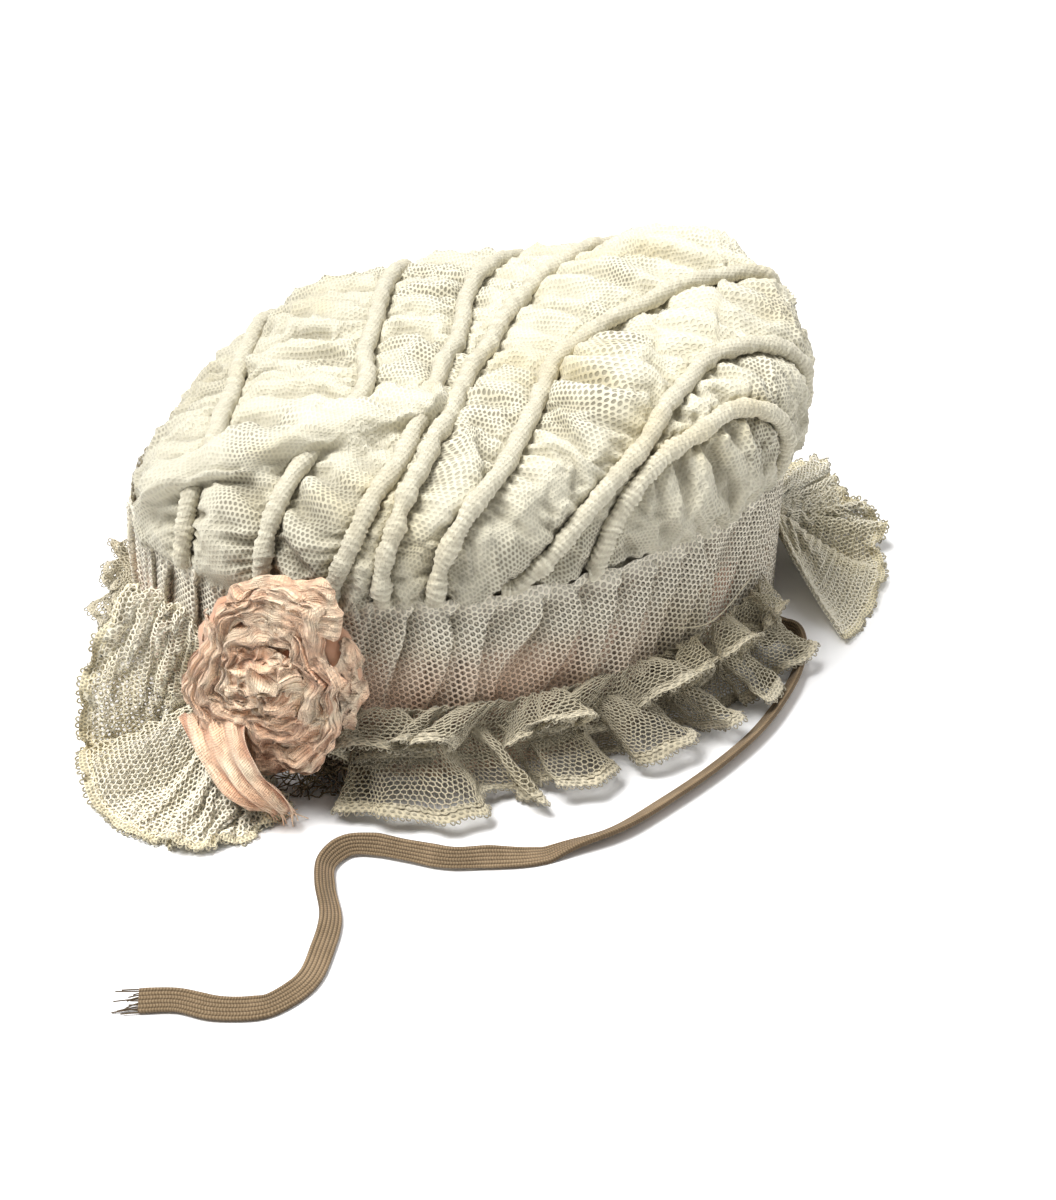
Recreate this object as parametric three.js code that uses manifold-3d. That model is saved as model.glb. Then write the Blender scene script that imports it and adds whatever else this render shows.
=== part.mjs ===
// A small child's hat of fine net, as it lies on a table: a soft puffed crown gathered between
// seven net-covered cords, a pleated net band over a pink lining, two tiers of lace frill at the
// foot, a fan of lace on each side, a crumpled silk rosette with two tails, and one elastic tie.
// Millimetres, +Z up. The rosette is on the -Y side, and the band stands on the plane Z = 0.
import * as THREE from 'three';
import Module from 'manifold-3d';
import { mergeVertices } from 'three/addons/utils/BufferGeometryUtils.js';

const wasm = await Module();
wasm.setup();

// Driving sizes of the band
const BAND_SIDE = 68;
const BAND_LONG = 85;
const BAND_HEIGHT = 45;
const GAP = 0.3;
const LINING_WALL = 1;
const NET_WALL = 1;
const PLEATS = 48;
const PLEAT_DEPTH = 1.1;

// Driving sizes of the crown
const CROWN_RISE = 30;
const CROWN_WALL = 2;
const LEAST_SLOPE = 16;
const PUFF_RISE = 4;
const PUFF_WIDTH = 7;
const PUFF_FOOT = -2.8;
const CORD_WIDTH = 4.5;
const CORD_LIFT = 0.8;

// Driving sizes of the frills, the fans, the rosette and the tie
const FRILL_WALL = 1.1;
const FRILL_REACH = 14;
const FRILL_WAVE = 1.3;
const UPPER_FOOT = 9.5;
const UPPER_SEAM = 21;
const LOWER_SEAM = 16.5;
const FAN_WALL = 1.1;
const FAN_REACH = 36;
const FAN_FOLD = 1.6;
const ROSETTE_WIDTH = 42;
const ROSETTE_TALL = 43;
const ROSETTE_DEPTH = 11;
const ROSETTE_OFF = 8.5;
const ROSETTE_UP = 30.5;
const ROSETTE_ANGLE = 303;
const ROSETTE_LEAN = 9;
const TAIL_WIDTH = 9;
const TAIL_THICK = 1.2;
const TIE_WIDTH = 5;
const TIE_THICK = 1.2;

// Number of flat faces that stand in for each curved surface
const CROWN_COLUMNS = 48;
const CROWN_ROWS = 16;
const CORD_STEPS = 20;
const FRILL_COLUMNS_PER_TURN = 84;

// The crown's profile from its top to the band: share is the way along it, reach is a share of
// the band's half width and height is a share of the crown's rise.
const PROFILE = [
  { share: 0.00, reach: 0.000, height: 1.000 },
  { share: 0.22, reach: 0.350, height: 0.975 },
  { share: 0.40, reach: 0.640, height: 0.910 },
  { share: 0.54, reach: 0.850, height: 0.790 },
  { share: 0.66, reach: 0.990, height: 0.620 },
  { share: 0.76, reach: 1.060, height: 0.420 },
  { share: 0.85, reach: 1.075, height: 0.220 },
  { share: 0.93, reach: 1.045, height: 0.070 },
  { share: 1.00, reach: 1.000, height: 0.000 },
];

// How the soft crown has slumped, every 45 degrees from +X: swell pushes its side out and lift
// raises its shoulder, as shares of the band's half length.
const SLUMP = [
  { swell: -0.075, lift: 0.069 },
  { swell: -0.021, lift: 0.144 },
  { swell: -0.108, lift: 0.220 },
  { swell: -0.029, lift: 0.039 },
  { swell: 0.064, lift: -0.008 },
  { swell: -0.116, lift: -0.142 },
  { swell: -0.093, lift: -0.046 },
  { swell: -0.060, lift: 0.012 },
];

// The cords, seen from above on the crown flattened to a disc of radius one: the angles of their
// two ends on the band, and how far each eighth of the way is moved to the left of the chord.
const CORDS = [
  {
    name: 'piping_cord_1',
    front: -79,
    back: 174,
    sway: [-0.135, -0.21, -0.19, -0.14, -0.09, -0.04, -0.015],
  },
  {
    name: 'piping_cord_2',
    front: -60,
    back: 155,
    sway: [-0.065, -0.13, -0.165, -0.11, -0.07, -0.03, -0.01],
  },
  {
    name: 'piping_cord_3',
    front: -51,
    back: 135,
    sway: [-0.07, -0.10, -0.075, -0.03, 0.03, 0.05, 0.03],
  },
  {
    name: 'piping_cord_4',
    front: -42,
    back: 117,
    sway: [0.02, 0.045, 0.09, 0.13, 0.15, 0.12, 0.06],
  },
  {
    name: 'piping_cord_5',
    front: -34,
    back: 75,
    sway: [0.10, 0.16, 0.25, 0.35, 0.33, 0.23, 0.08],
  },
  {
    name: 'piping_cord_6',
    front: -24,
    back: 54,
    sway: [0.02, 0.08, 0.15, 0.24, 0.29, 0.21, 0.07],
  },
  {
    name: 'piping_cord_7',
    front: -9,
    back: 38,
    sway: [0.11, 0.19, 0.235, 0.25, 0.25, 0.19, 0.10],
  },
];

// The larger folds and dents of the net between the cords, as straight ridges on the same disc:
// the ridge's ends, its half width there and its rise as a share of a puff's, less than zero for
// a dent.
const FOLDS = [
  { from: [-0.20, -0.70], to: [0.00, -0.45], width: 0.07, rise: 0.75 },
  { from: [0.22, -0.85], to: [0.10, -0.50], width: 0.06, rise: 0.62 },
  { from: [0.02, -0.30], to: [0.20, -0.22], width: 0.07, rise: 0.62 },
  { from: [0.34, -0.46], to: [0.38, -0.60], width: 0.05, rise: -0.50 },
  { from: [0.20, 0.12], to: [0.44, -0.22], width: 0.06, rise: 0.50 },
  { from: [0.62, -0.25], to: [0.74, -0.40], width: 0.08, rise: 0.62 },
  { from: [0.25, 0.40], to: [0.33, 0.25], width: 0.08, rise: 0.50 },
  { from: [0.84, 0.05], to: [0.66, 0.38], width: 0.12, rise: 0.75 },
  { from: [-0.60, -0.45], to: [-0.25, -0.62], width: 0.08, rise: 0.50 },
  { from: [-0.45, 0.35], to: [-0.75, 0.15], width: 0.09, rise: 0.50 },
  { from: [0.00, 0.80], to: [-0.10, 0.50], width: 0.09, rise: 0.50 },
];

// The two frilled strips at the foot run from one fan to the other: angles along the band, the
// reach of each tier at even steps along it as a share of the frill's, and the waves of its edge.
const FRILLS = [
  {
    name: 'ruffle_front',
    from: 314,
    to: 396,
    upper: [0.64, 0.57, 0.64, 0.64, 0.57, 0.64, 0.50],
    lower: [1.29, 1.21, 0.86, 0.82, 0.96, 1.00, 0.57],
    waves: 9,
  },
  {
    name: 'ruffle_back',
    from: 112,
    to: 255,
    upper: [0.57, 0.64, 0.64, 0.64, 0.64, 0.64, 0.57],
    lower: [0.86, 0.93, 1.00, 1.00, 1.00, 0.93, 0.86],
    waves: 13,
  },
];

// The lace fans, gathered at one place on the band: their edge is given by its place to the side
// of the gather, outwards from the band and above the table, as shares of a fan's reach.
const FANS = [
  {
    name: 'lace_fan_front',
    angle: 290,
    gather: 0.611,
    edge: [
      { side: -0.611, out: 0.083, up: 1.167 },
      { side: -0.750, out: 0.306, up: 0.750 },
      { side: -0.750, out: 0.528, up: 0.306 },
      { side: -0.500, out: 0.806, up: 0.083 },
      { side: -0.028, out: 0.944, up: 0.042 },
      { side: 0.306, out: 0.972, up: 0.028 },
      { side: 0.528, out: 0.667, up: 0.028 },
      { side: 0.611, out: 0.333, up: 0.028 },
    ],
    sink: 1.0,
  },
  {
    name: 'lace_fan_back',
    angle: 66,
    gather: 0.556,
    edge: [
      { side: -1.139, out: 0.389, up: 0.028 },
      { side: -0.556, out: 0.639, up: 0.028 },
      { side: -0.056, out: 0.861, up: 0.083 },
      { side: 0.278, out: 0.917, up: 0.194 },
      { side: 0.444, out: 0.694, up: 0.333 },
      { side: 0.833, out: 0.722, up: 0.250 },
      { side: 1.167, out: 0.667, up: 0.222 },
      { side: 1.278, out: 0.333, up: 0.278 },
    ],
    sink: 0.5,
  },
];

// The ribbon tail that sweeps over the rosette's lower edge, as rows down its middle line: to the
// side of the rosette's middle, outwards from the band and above the table, as shares of the
// rosette's height.
const TAIL = [
  { side: -0.465, out: 0.407, up: 0.488 },
  { side: -0.279, out: 0.512, up: 0.360 },
  { side: -0.070, out: 0.535, up: 0.244 },
  { side: 0.093, out: 0.488, up: 0.151 },
  { side: 0.209, out: 0.419, up: 0.093 },
];

// The tie's route from its stitch on the band out over the table, as shares of the band's half
// length.
const TIE_ROUTE = [
  [0.616, 0.646, 0.059], [0.659, 0.675, 0.049], [0.712, 0.700, 0.035], [0.776, 0.665, 0.024],
  [0.859, 0.576, 0.018], [0.941, 0.447, 0.015], [1.024, 0.271, 0.015], [1.082, 0.071, 0.015],
  [1.118, -0.118, 0.015], [1.141, -0.306, 0.015], [1.118, -0.447, 0.015], [1.094, -0.553, 0.015],
  [1.047, -0.647, 0.015], [1.000, -0.729, 0.015], [0.918, -0.800, 0.015], [0.847, -0.859, 0.015],
  [0.812, -0.918, 0.015], [0.835, -0.988, 0.015], [0.906, -1.035, 0.015], [1.012, -1.082, 0.015],
  [1.094, -1.153, 0.015], [1.165, -1.235, 0.015], [1.188, -1.329, 0.015], [1.176, -1.388, 0.015],
  [1.129, -1.459, 0.015], [1.059, -1.518, 0.015], [1.012, -1.588, 0.015],
];

const TAU = 2 * Math.PI;

function radians(degrees) {
  return degrees * Math.PI / 180;
}

function clamp(value, low, high) {
  return Math.min(Math.max(value, low), high);
}

function smoothstep(low, high, value) {
  const share = clamp((value - low) / (high - low), 0, 1);
  return share * share * (3 - 2 * share);
}

// A smooth value between the numbers of a list, placed at even steps.
function between(values, share) {
  const last = values.length - 1;
  const place = clamp(share, 0, 1) * last;
  const start = Math.min(Math.floor(place), last - 1);
  const part = place - start;
  const pick = (step) => values[clamp(start + step, 0, last)];
  return blend(pick(-1), pick(0), pick(1), pick(2), part);
}

// The same for values that follow each other around the whole turn.
function around(values, angle) {
  const count = values.length;
  const place = (((angle / TAU) % 1) + 1) % 1 * count;
  const start = Math.floor(place);
  const pick = (step) => values[(start + step + count) % count];
  return blend(pick(-1), pick(0), pick(1), pick(2), place - start);
}

function blend(before, start, end, after, part) {
  const first = 2 * start + (end - before) * part;
  const second = (2 * before - 5 * start + 4 * end - after) * part * part;
  const third = (3 * start - before - 3 * end + after) * part * part * part;
  return (first + second + third) / 2;
}

// The profile's reach or height at a share of the way down from the top.
function profileAt(share, column) {
  let row = 0;
  while (row < PROFILE.length - 2 && PROFILE[row + 1].share < share) {
    row += 1;
  }
  const slope = (index) => {
    const low = Math.max(index - 1, 0);
    const high = Math.min(index + 1, PROFILE.length - 1);
    const rise = PROFILE[high][column] - PROFILE[low][column];
    return rise / (PROFILE[high].share - PROFILE[low].share);
  };
  const run = PROFILE[row + 1].share - PROFILE[row].share;
  const part = (share - PROFILE[row].share) / run;
  const square = part * part;
  const cube = square * part;
  return (2 * cube - 3 * square + 1) * PROFILE[row][column]
    + (cube - 2 * square + part) * run * slope(row)
    + (3 * square - 2 * cube) * PROFILE[row + 1][column]
    + (cube - square) * run * slope(row + 1);
}

// The smooth crown, without puffs, at a place on the flattened disc.
function crownBase(across, along) {
  const share = Math.min(Math.hypot(across, along), 1);
  const angle = Math.atan2(along, across);
  const side = Math.exp(-(((share - 0.8) / 0.2) ** 2));
  const shoulder = 1.9 * share ** 1.2 * (1 - share ** 5);
  const swell = BAND_LONG * around(SLUMP.map((row) => row.swell), angle) * side;
  const lift = BAND_LONG * around(SLUMP.map((row) => row.lift), angle) * shoulder;
  const reach = profileAt(share, 'reach');
  const height = CROWN_RISE * profileAt(share, 'height') + lift;
  return new THREE.Vector3(
    (BAND_SIDE * reach + swell) * Math.cos(angle),
    (BAND_LONG * reach + swell) * Math.sin(angle),
    BAND_HEIGHT + Math.max(height, LEAST_SLOPE * (1 - share)),
  );
}

// The way out of the crown there.
function crownNormal(across, along) {
  const share = Math.hypot(across, along);
  const inward = share > 0.98 ? 0.98 / share : 1;
  const x = across * inward;
  const y = along * inward;
  const step = 0.012;
  const alongX = crownBase(x + step, y).sub(crownBase(x - step, y));
  const alongY = crownBase(x, y + step).sub(crownBase(x, y - step));
  return alongX.cross(alongY).normalize();
}

// A cord's way over the disc, from the front of the band to the back.
function cordWay(cord, share) {
  const front = new THREE.Vector2(Math.cos(radians(cord.front)), Math.sin(radians(cord.front)));
  const back = new THREE.Vector2(Math.cos(radians(cord.back)), Math.sin(radians(cord.back)));
  const chord = back.clone().sub(front);
  const left = new THREE.Vector2(-chord.y, chord.x).normalize();
  const sway = between([0, ...cord.sway, 0], share);
  return front.addScaledVector(chord, share).addScaledVector(left, sway);
}

const CORD_WAYS = CORDS.map((cord) => {
  const places = [];
  for (let step = 0; step <= 40; step += 1) {
    places.push(cordWay(cord, step / 40));
  }
  return places;
});

// How far a place on the disc is from the nearest cord, in millimetres.
function toNearestCord(across, along) {
  let nearest = 1;
  for (const places of CORD_WAYS) {
    for (const place of places) {
      nearest = Math.min(nearest, Math.hypot(across - place.x, along - place.y));
    }
  }
  return nearest * (BAND_SIDE + BAND_LONG) / 2;
}

function foldRise(across, along) {
  let rise = 0;
  for (const fold of FOLDS) {
    const runX = fold.to[0] - fold.from[0];
    const runY = fold.to[1] - fold.from[1];
    const length = runX * runX + runY * runY;
    const share = ((across - fold.from[0]) * runX + (along - fold.from[1]) * runY) / length;
    const nearX = fold.from[0] + clamp(share, 0, 1) * runX;
    const nearY = fold.from[1] + clamp(share, 0, 1) * runY;
    const apart = Math.hypot(across - nearX, along - nearY) / fold.width;
    rise += fold.rise * Math.exp(-apart * apart);
  }
  return rise;
}

// The puffed net's height over the smooth crown.
function puff(across, along) {
  const apart = toNearestCord(across, along) / PUFF_WIDTH;
  const full = 1 - Math.exp(-apart * apart);
  const atBand = 1 - smoothstep(0.9, 1, Math.hypot(across, along));
  return (PUFF_FOOT + PUFF_RISE * (1 + foldRise(across, along)) * full) * atBand;
}

// A grid of points, a list of rows for each column.
function grid(columns, rows, pointAt) {
  const points = [];
  for (let column = 0; column < columns; column += 1) {
    const list = [];
    for (let row = 0; row < rows; row += 1) {
      list.push(pointAt(column, row));
    }
    points.push(list);
  }
  return points;
}

// One closed solid between two grids of points, joined along their edges.
function solidBetween(face, back, ring) {
  const columns = face.length;
  const rows = face[0].length;
  const positions = [];
  for (const points of [face, back]) {
    for (const list of points) {
      for (const point of list) {
        positions.push(point.x, point.y, point.z);
      }
    }
  }
  const faces = [];
  const corner = (side, column, row) => (side * columns + (column % columns)) * rows + row;
  const quad = (a, b, c, d) => faces.push(a, b, c, a, c, d);
  const spans = ring ? columns : columns - 1;
  for (let column = 0; column < spans; column += 1) {
    const next = column + 1;
    for (let row = 0; row < rows - 1; row += 1) {
      const up = row + 1;
      quad(corner(0, column, row), corner(0, next, row), corner(0, next, up), corner(0, column, up));
      quad(corner(1, column, row), corner(1, column, up), corner(1, next, up), corner(1, next, row));
    }
    const top = rows - 1;
    quad(corner(0, column, 0), corner(1, column, 0), corner(1, next, 0), corner(0, next, 0));
    quad(corner(0, column, top), corner(0, next, top), corner(1, next, top), corner(1, column, top));
  }
  if (!ring) {
    for (let row = 0; row < rows - 1; row += 1) {
      const end = columns - 1;
      quad(corner(0, 0, row), corner(0, 0, row + 1), corner(1, 0, row + 1), corner(1, 0, row));
      quad(corner(0, end, row), corner(1, end, row), corner(1, end, row + 1), corner(0, end, row + 1));
    }
  }
  return weld(positions, faces);
}

// Joins corners that meet, drops faces that closed up to a line and turns the faces outwards.
function weld(positions, faces) {
  const loose = new THREE.BufferGeometry();
  loose.setAttribute('position', new THREE.Float32BufferAttribute(positions, 3));
  loose.setIndex(faces);
  const joined = mergeVertices(loose, 1e-3);
  const index = joined.index.array;
  const kept = [];
  for (let start = 0; start < index.length; start += 3) {
    const [a, b, c] = [index[start], index[start + 1], index[start + 2]];
    if (a !== b && b !== c && c !== a) {
      kept.push(a, b, c);
    }
  }
  if (volumeOf(joined, kept) < 0) {
    kept.reverse();
  }
  joined.setIndex(kept);
  joined.computeVertexNormals();
  return joined;
}

function volumeOf(geometry, faces) {
  const position = geometry.attributes.position;
  const corners = [new THREE.Vector3(), new THREE.Vector3(), new THREE.Vector3()];
  let volume = 0;
  for (let start = 0; start < faces.length; start += 3) {
    corners.forEach((corner, turn) => corner.fromBufferAttribute(position, faces[start + turn]));
    volume += corners[0].dot(corners[1].clone().cross(corners[2])) / 6;
  }
  return volume;
}

function toSolid(geometry) {
  const plain = new THREE.BufferGeometry();
  plain.setAttribute('position', geometry.attributes.position);
  plain.setIndex(geometry.index);
  const joined = mergeVertices(plain, 1e-3);
  return new wasm.Manifold(new wasm.Mesh({
    numProp: 3,
    vertProperties: new Float32Array(joined.attributes.position.array),
    triVerts: new Uint32Array(joined.index.array),
  }));
}

function fromSolid(solid) {
  const mesh = solid.getMesh();
  const positions = [];
  for (let corner = 0; corner < mesh.numVert; corner += 1) {
    const start = corner * mesh.numProp;
    positions.push(...mesh.vertProperties.slice(start, start + 3));
  }
  return weld(positions, [...mesh.triVerts]);
}

// A round bar along a list of points.
function bar(points, width, sides, steps) {
  const section = new THREE.Shape();
  for (let side = 0; side < sides; side += 1) {
    const angle = (side + 0.5) / sides * TAU;
    const x = width / 2 * Math.cos(angle);
    const y = width / 2 * Math.sin(angle);
    if (side === 0) {
      section.moveTo(x, y);
    } else {
      section.lineTo(x, y);
    }
  }
  section.closePath();
  const path = new THREE.CatmullRomCurve3(points);
  return new THREE.ExtrudeGeometry(section, { steps, extrudePath: path });
}

function cordPoints(cord) {
  const points = [];
  for (let step = 0; step <= CORD_STEPS; step += 1) {
    const share = 0.02 + 0.96 * step / CORD_STEPS;
    const place = cordWay(cord, share);
    const lift = crownNormal(place.x, place.y).multiplyScalar(CORD_LIFT);
    const point = crownBase(place.x, place.y).add(lift);
    point.z = Math.max(point.z, BAND_HEIGHT + CORD_WIDTH / 2 + GAP);
    points.push(point);
  }
  return points;
}

// A short way past a cord's end, so that the end is clear too.
function endRoom(end, before) {
  const ahead = end.clone().sub(before).normalize();
  return [end.clone().addScaledVector(ahead, -1), end.clone().addScaledVector(ahead, 2 * GAP)];
}

// The puffed shell, cut clear of the cords that lie in it.
function crownGeometry() {
  const surface = (below) => grid(CROWN_COLUMNS, CROWN_ROWS + 1, (column, row) => {
    const angle = column / CROWN_COLUMNS * TAU;
    const share = 1 - row / CROWN_ROWS;
    const across = share * Math.cos(angle);
    const along = share * Math.sin(angle);
    const lift = crownNormal(across, along).multiplyScalar(puff(across, along) - below);
    const point = crownBase(across, along).add(lift);
    if (row === 0) {
      point.z = BAND_HEIGHT;
    }
    return point;
  });
  const shell = toSolid(solidBetween(surface(0), surface(CROWN_WALL), true));
  const cutters = CORDS.flatMap((cord) => {
    const points = cordPoints(cord);
    const width = CORD_WIDTH + 2.4 * GAP;
    const end = points.length - 1;
    return [
      bar(points, width, 6, CORD_STEPS),
      bar(endRoom(points[0], points[1]), width, 6, 1),
      bar(endRoom(points[end], points[end - 1]), width, 6, 1),
    ];
  });
  return fromSolid(cutters.map(toSolid).reduce((left, cutter) => left.subtract(cutter), shell));
}

// A point outside the band's upright side.
function bandPoint(angle, out, up) {
  const along = new THREE.Vector3(BAND_SIDE * Math.cos(angle), BAND_LONG * Math.sin(angle), up);
  return along.addScaledVector(bandNormal(angle), out);
}

function bandNormal(angle) {
  return new THREE.Vector3(BAND_LONG * Math.cos(angle), BAND_SIDE * Math.sin(angle), 0).normalize();
}

// A wall that follows the band, between two distances from it.
function bandWall(columns, low, high, outAt, wall) {
  const side = (under) => grid(columns, 2, (column, row) => {
    const angle = column / columns * TAU;
    return bandPoint(angle, outAt(angle) - under, row === 0 ? low : high);
  });
  return solidBetween(side(0), side(wall), true);
}

function liningGeometry() {
  const out = () => -NET_WALL - GAP - PLEAT_DEPTH;
  return bandWall(96, 0, BAND_HEIGHT - GAP, out, LINING_WALL);
}

function bandNetGeometry() {
  const out = (angle) => -PLEAT_DEPTH * (0.5 - 0.5 * Math.cos(angle * PLEATS));
  return bandWall(2 * PLEATS, 1, BAND_HEIGHT - GAP, out, NET_WALL);
}

// One tier of lace frill: it hangs from its seam on the band and spreads on the table.
function frillGeometry(frill, reaches, seam, foot) {
  const turn = radians(frill.to - frill.from);
  const columns = Math.round(turn / TAU * FRILL_COLUMNS_PER_TURN) + 1;
  const rows = 4;
  const surface = (under) => grid(columns, rows, (column, row) => {
    const share = column / (columns - 1);
    const down = 1 - row / (rows - 1);
    const angle = radians(frill.from) + share * turn;
    const wave = Math.sin(share * frill.waves * TAU);
    const reach = FRILL_REACH * between(reaches, share) + FRILL_WAVE * wave * down;
    const out = GAP + FRILL_WALL + (reach - GAP - FRILL_WALL) * down ** 1.2;
    const edge = foot + FRILL_WALL + FRILL_WAVE * (1 + wave * down);
    const fall = seam - (seam - edge) * down ** 0.8;
    return bandPoint(angle, out - under * (1 - 0.6 * down), fall - under * down);
  });
  return solidBetween(surface(0), surface(FRILL_WALL), false);
}

// A gathered fan of lace that falls from the band onto the table.
function fanGeometry(fan) {
  const angle = radians(fan.angle);
  const normal = bandNormal(angle);
  const tangent = new THREE.Vector3(-normal.y, normal.x, 0);
  const height = FAN_REACH * fan.gather;
  const gather = bandPoint(angle, GAP, height);
  const columns = 3 * (fan.edge.length - 1) + 1;
  const rows = 5;
  const surface = (under) => grid(columns, rows, (column, row) => {
    const share = column / (columns - 1);
    const spread = 1 - 0.93 * row / (rows - 1);
    const side = FAN_REACH * between(fan.edge.map((place) => place.side), share);
    const out = FAN_REACH * between(fan.edge.map((place) => place.out), share);
    const up = FAN_REACH * between(fan.edge.map((place) => place.up), share) - height;
    const fold = FAN_FOLD * Math.sin(share * 7 * Math.PI) * Math.sin(spread * Math.PI * 0.75);
    const drop = 1 - (1 - spread) ** (1 + fan.sink);
    const point = gather.clone()
      .addScaledVector(tangent, side * spread)
      .addScaledVector(normal, out * spread ** (1 + 0.3 * fan.sink));
    point.z += up * drop + fold;
    return clearOfBand(point, under, GAP);
  });
  return solidBetween(surface(0), surface(FAN_WALL), false);
}

// Keeps a sheet's point off the band and above the table, a wall's thickness further for its face.
function clearOfBand(point, under, clearance) {
  const angle = Math.atan2(point.y / BAND_LONG, point.x / BAND_SIDE);
  const normal = bandNormal(angle);
  const foot = bandPoint(angle, 0, point.z);
  const out = Math.max(point.clone().sub(foot).dot(normal), clearance + FAN_WALL);
  const place = bandPoint(angle, out - under, 0);
  place.z = Math.max(point.z, FAN_WALL + GAP) - under;
  return place;
}

// The rosette's own frame: side to side, up its leaning face and out of it.
function rosetteFrame() {
  const angle = radians(ROSETTE_ANGLE);
  const normal = bandNormal(angle);
  const side = new THREE.Vector3(-normal.y, normal.x, 0);
  const lean = radians(ROSETTE_LEAN);
  const rise = new THREE.Vector3(0, 0, Math.sin(lean));
  const face = normal.clone().multiplyScalar(Math.cos(lean)).add(rise);
  const up = face.clone().cross(side).normalize();
  const middle = bandPoint(angle, ROSETTE_OFF, ROSETTE_UP);
  return { side, up, face, middle };
}

function rosettePoint(frame, x, y, out) {
  return frame.middle.clone()
    .addScaledVector(frame.side, x)
    .addScaledVector(frame.up, y)
    .addScaledVector(frame.face, out);
}

// A low cushion with a spiral of crumpled ribbon on its face, and a root that meets the band.
function rosetteGeometry() {
  const frame = rosetteFrame();
  const columns = 28;
  const rows = 9;
  const surface = (back) => grid(columns, rows, (column, row) => {
    const angle = column / columns * TAU;
    const share = 1 - row / (rows - 1);
    const ragged = 1 + 0.05 * Math.sin(5 * angle) + 0.03 * Math.sin(9 * angle + 1);
    const x = ROSETTE_WIDTH / 2 * share * ragged * Math.cos(angle);
    const y = ROSETTE_TALL / 2 * share * ragged * Math.sin(angle);
    const dome = ROSETTE_DEPTH * (0.35 + 0.65 * Math.sqrt(Math.max(1 - share * share, 0)));
    const spiral = 1.3 * Math.sin(share * 3 * TAU + angle) * smoothstep(0, 0.3, share);
    const front = dome - 1.3 + spiral * (1 - smoothstep(0.9, 1, share));
    const root = (2 * GAP - ROSETTE_OFF) * (1 - smoothstep(0.2, 0.85, share));
    return rosettePoint(frame, x, y, back ? root : front);
  });
  return solidBetween(surface(false), surface(true), true);
}

// A point on the tail's middle line.
function tailPoint(share) {
  const angle = radians(ROSETTE_ANGLE);
  const normal = bandNormal(angle);
  const out = ROSETTE_TALL * between(TAIL.map((place) => place.out), share);
  const up = ROSETTE_TALL * between(TAIL.map((place) => place.up), share);
  const side = ROSETTE_TALL * between(TAIL.map((place) => place.side), share);
  const tangent = new THREE.Vector3(-normal.y, normal.x, 0);
  return bandPoint(angle, out, up).addScaledVector(tangent, side);
}

// The ribbon tail, a strip that narrows to its frayed end.
function tailGeometry() {
  const normal = bandNormal(radians(ROSETTE_ANGLE));
  const rows = 9;
  const surface = (under) => grid(3, rows, (column, row) => {
    const share = 1 - row / (rows - 1);
    const ahead = tailPoint(Math.min(share + 0.02, 1)).sub(tailPoint(Math.max(share - 0.02, 0)));
    const across = normal.clone().cross(ahead).normalize();
    const width = TAIL_WIDTH * (1 - 0.4 * share);
    const curl = column === 1 ? 0.8 : 0;
    const point = tailPoint(share).addScaledVector(normal, curl - under);
    return point.addScaledVector(across, (column - 1) * width / 2);
  });
  return solidBetween(surface(0), surface(TAIL_THICK), false);
}

// A flat strip with rounded edges along its route on the table.
function tieGeometry() {
  const half = TIE_WIDTH / 2;
  const thin = TIE_THICK / 2;
  const outline = [
    [half, thin / 2], [half - thin, thin], [-half + thin, thin], [-half, thin / 2],
    [-half, -thin / 2], [-half + thin, -thin], [half - thin, -thin], [half, -thin / 2],
  ];
  const section = new THREE.Shape(outline.map(([x, y]) => new THREE.Vector2(y, x)));
  const route = TIE_ROUTE.map((point) => new THREE.Vector3(...point).multiplyScalar(BAND_LONG));
  const path = new THREE.CatmullRomCurve3(route);
  return new THREE.ExtrudeGeometry(section, { steps: 48, extrudePath: path });
}

function cloth(color, roughness) {
  return new THREE.MeshStandardMaterial({ color, roughness, metalness: 0 });
}

const creamNet = cloth(0xe8e0cb, 0.9);
const pipingNet = cloth(0xded5bd, 0.9);
const bandNet = cloth(0xd9d2c2, 0.9);
const greyLace = cloth(0xc9c2b0, 0.92);
const pinkCotton = cloth(0xe6b8a2, 0.85);
const pinkSilk = cloth(0xd9a48c, 0.55);
const tanElastic = cloth(0x9c8569, 0.85);

function addMesh(group, name, geometry, material) {
  const mesh = new THREE.Mesh(geometry, material);
  mesh.name = name;
  group.add(mesh);
}

function buildHat() {
  const hat = new THREE.Group();
  addMesh(hat, 'band_lining', liningGeometry(), pinkCotton);
  addMesh(hat, 'band_net', bandNetGeometry(), bandNet);
  addMesh(hat, 'crown', crownGeometry(), creamNet);
  for (const cord of CORDS) {
    addMesh(hat, cord.name, bar(cordPoints(cord), CORD_WIDTH, 6, CORD_STEPS), pipingNet);
  }
  for (const frill of FRILLS) {
    const upper = frillGeometry(frill, frill.upper, UPPER_SEAM, UPPER_FOOT);
    const lower = frillGeometry(frill, frill.lower, LOWER_SEAM, 0);
    addMesh(hat, frill.name + '_upper', upper, greyLace);
    addMesh(hat, frill.name + '_lower', lower, greyLace);
  }
  for (const fan of FANS) {
    addMesh(hat, fan.name, fanGeometry(fan), greyLace);
  }
  addMesh(hat, 'rosette', rosetteGeometry(), pinkSilk);
  addMesh(hat, 'rosette_tail', tailGeometry(), pinkSilk);
  return hat;
}

// Everything is moved together, so that the hat without its tie is centred over the origin.
function build() {
  const hat = buildHat();
  const middle = new THREE.Box3().setFromObject(hat).getCenter(new THREE.Vector3());
  addMesh(hat, 'tie', tieGeometry(), tanElastic);
  hat.position.set(-middle.x, -middle.y, 0);
  return hat;
}

export default build();
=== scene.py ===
"""A child's hat of gathered net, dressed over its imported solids: net, cords, lace, silk and elastic."""
import math

import bpy
import numpy as np
from mathutils import Matrix, Vector


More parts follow.
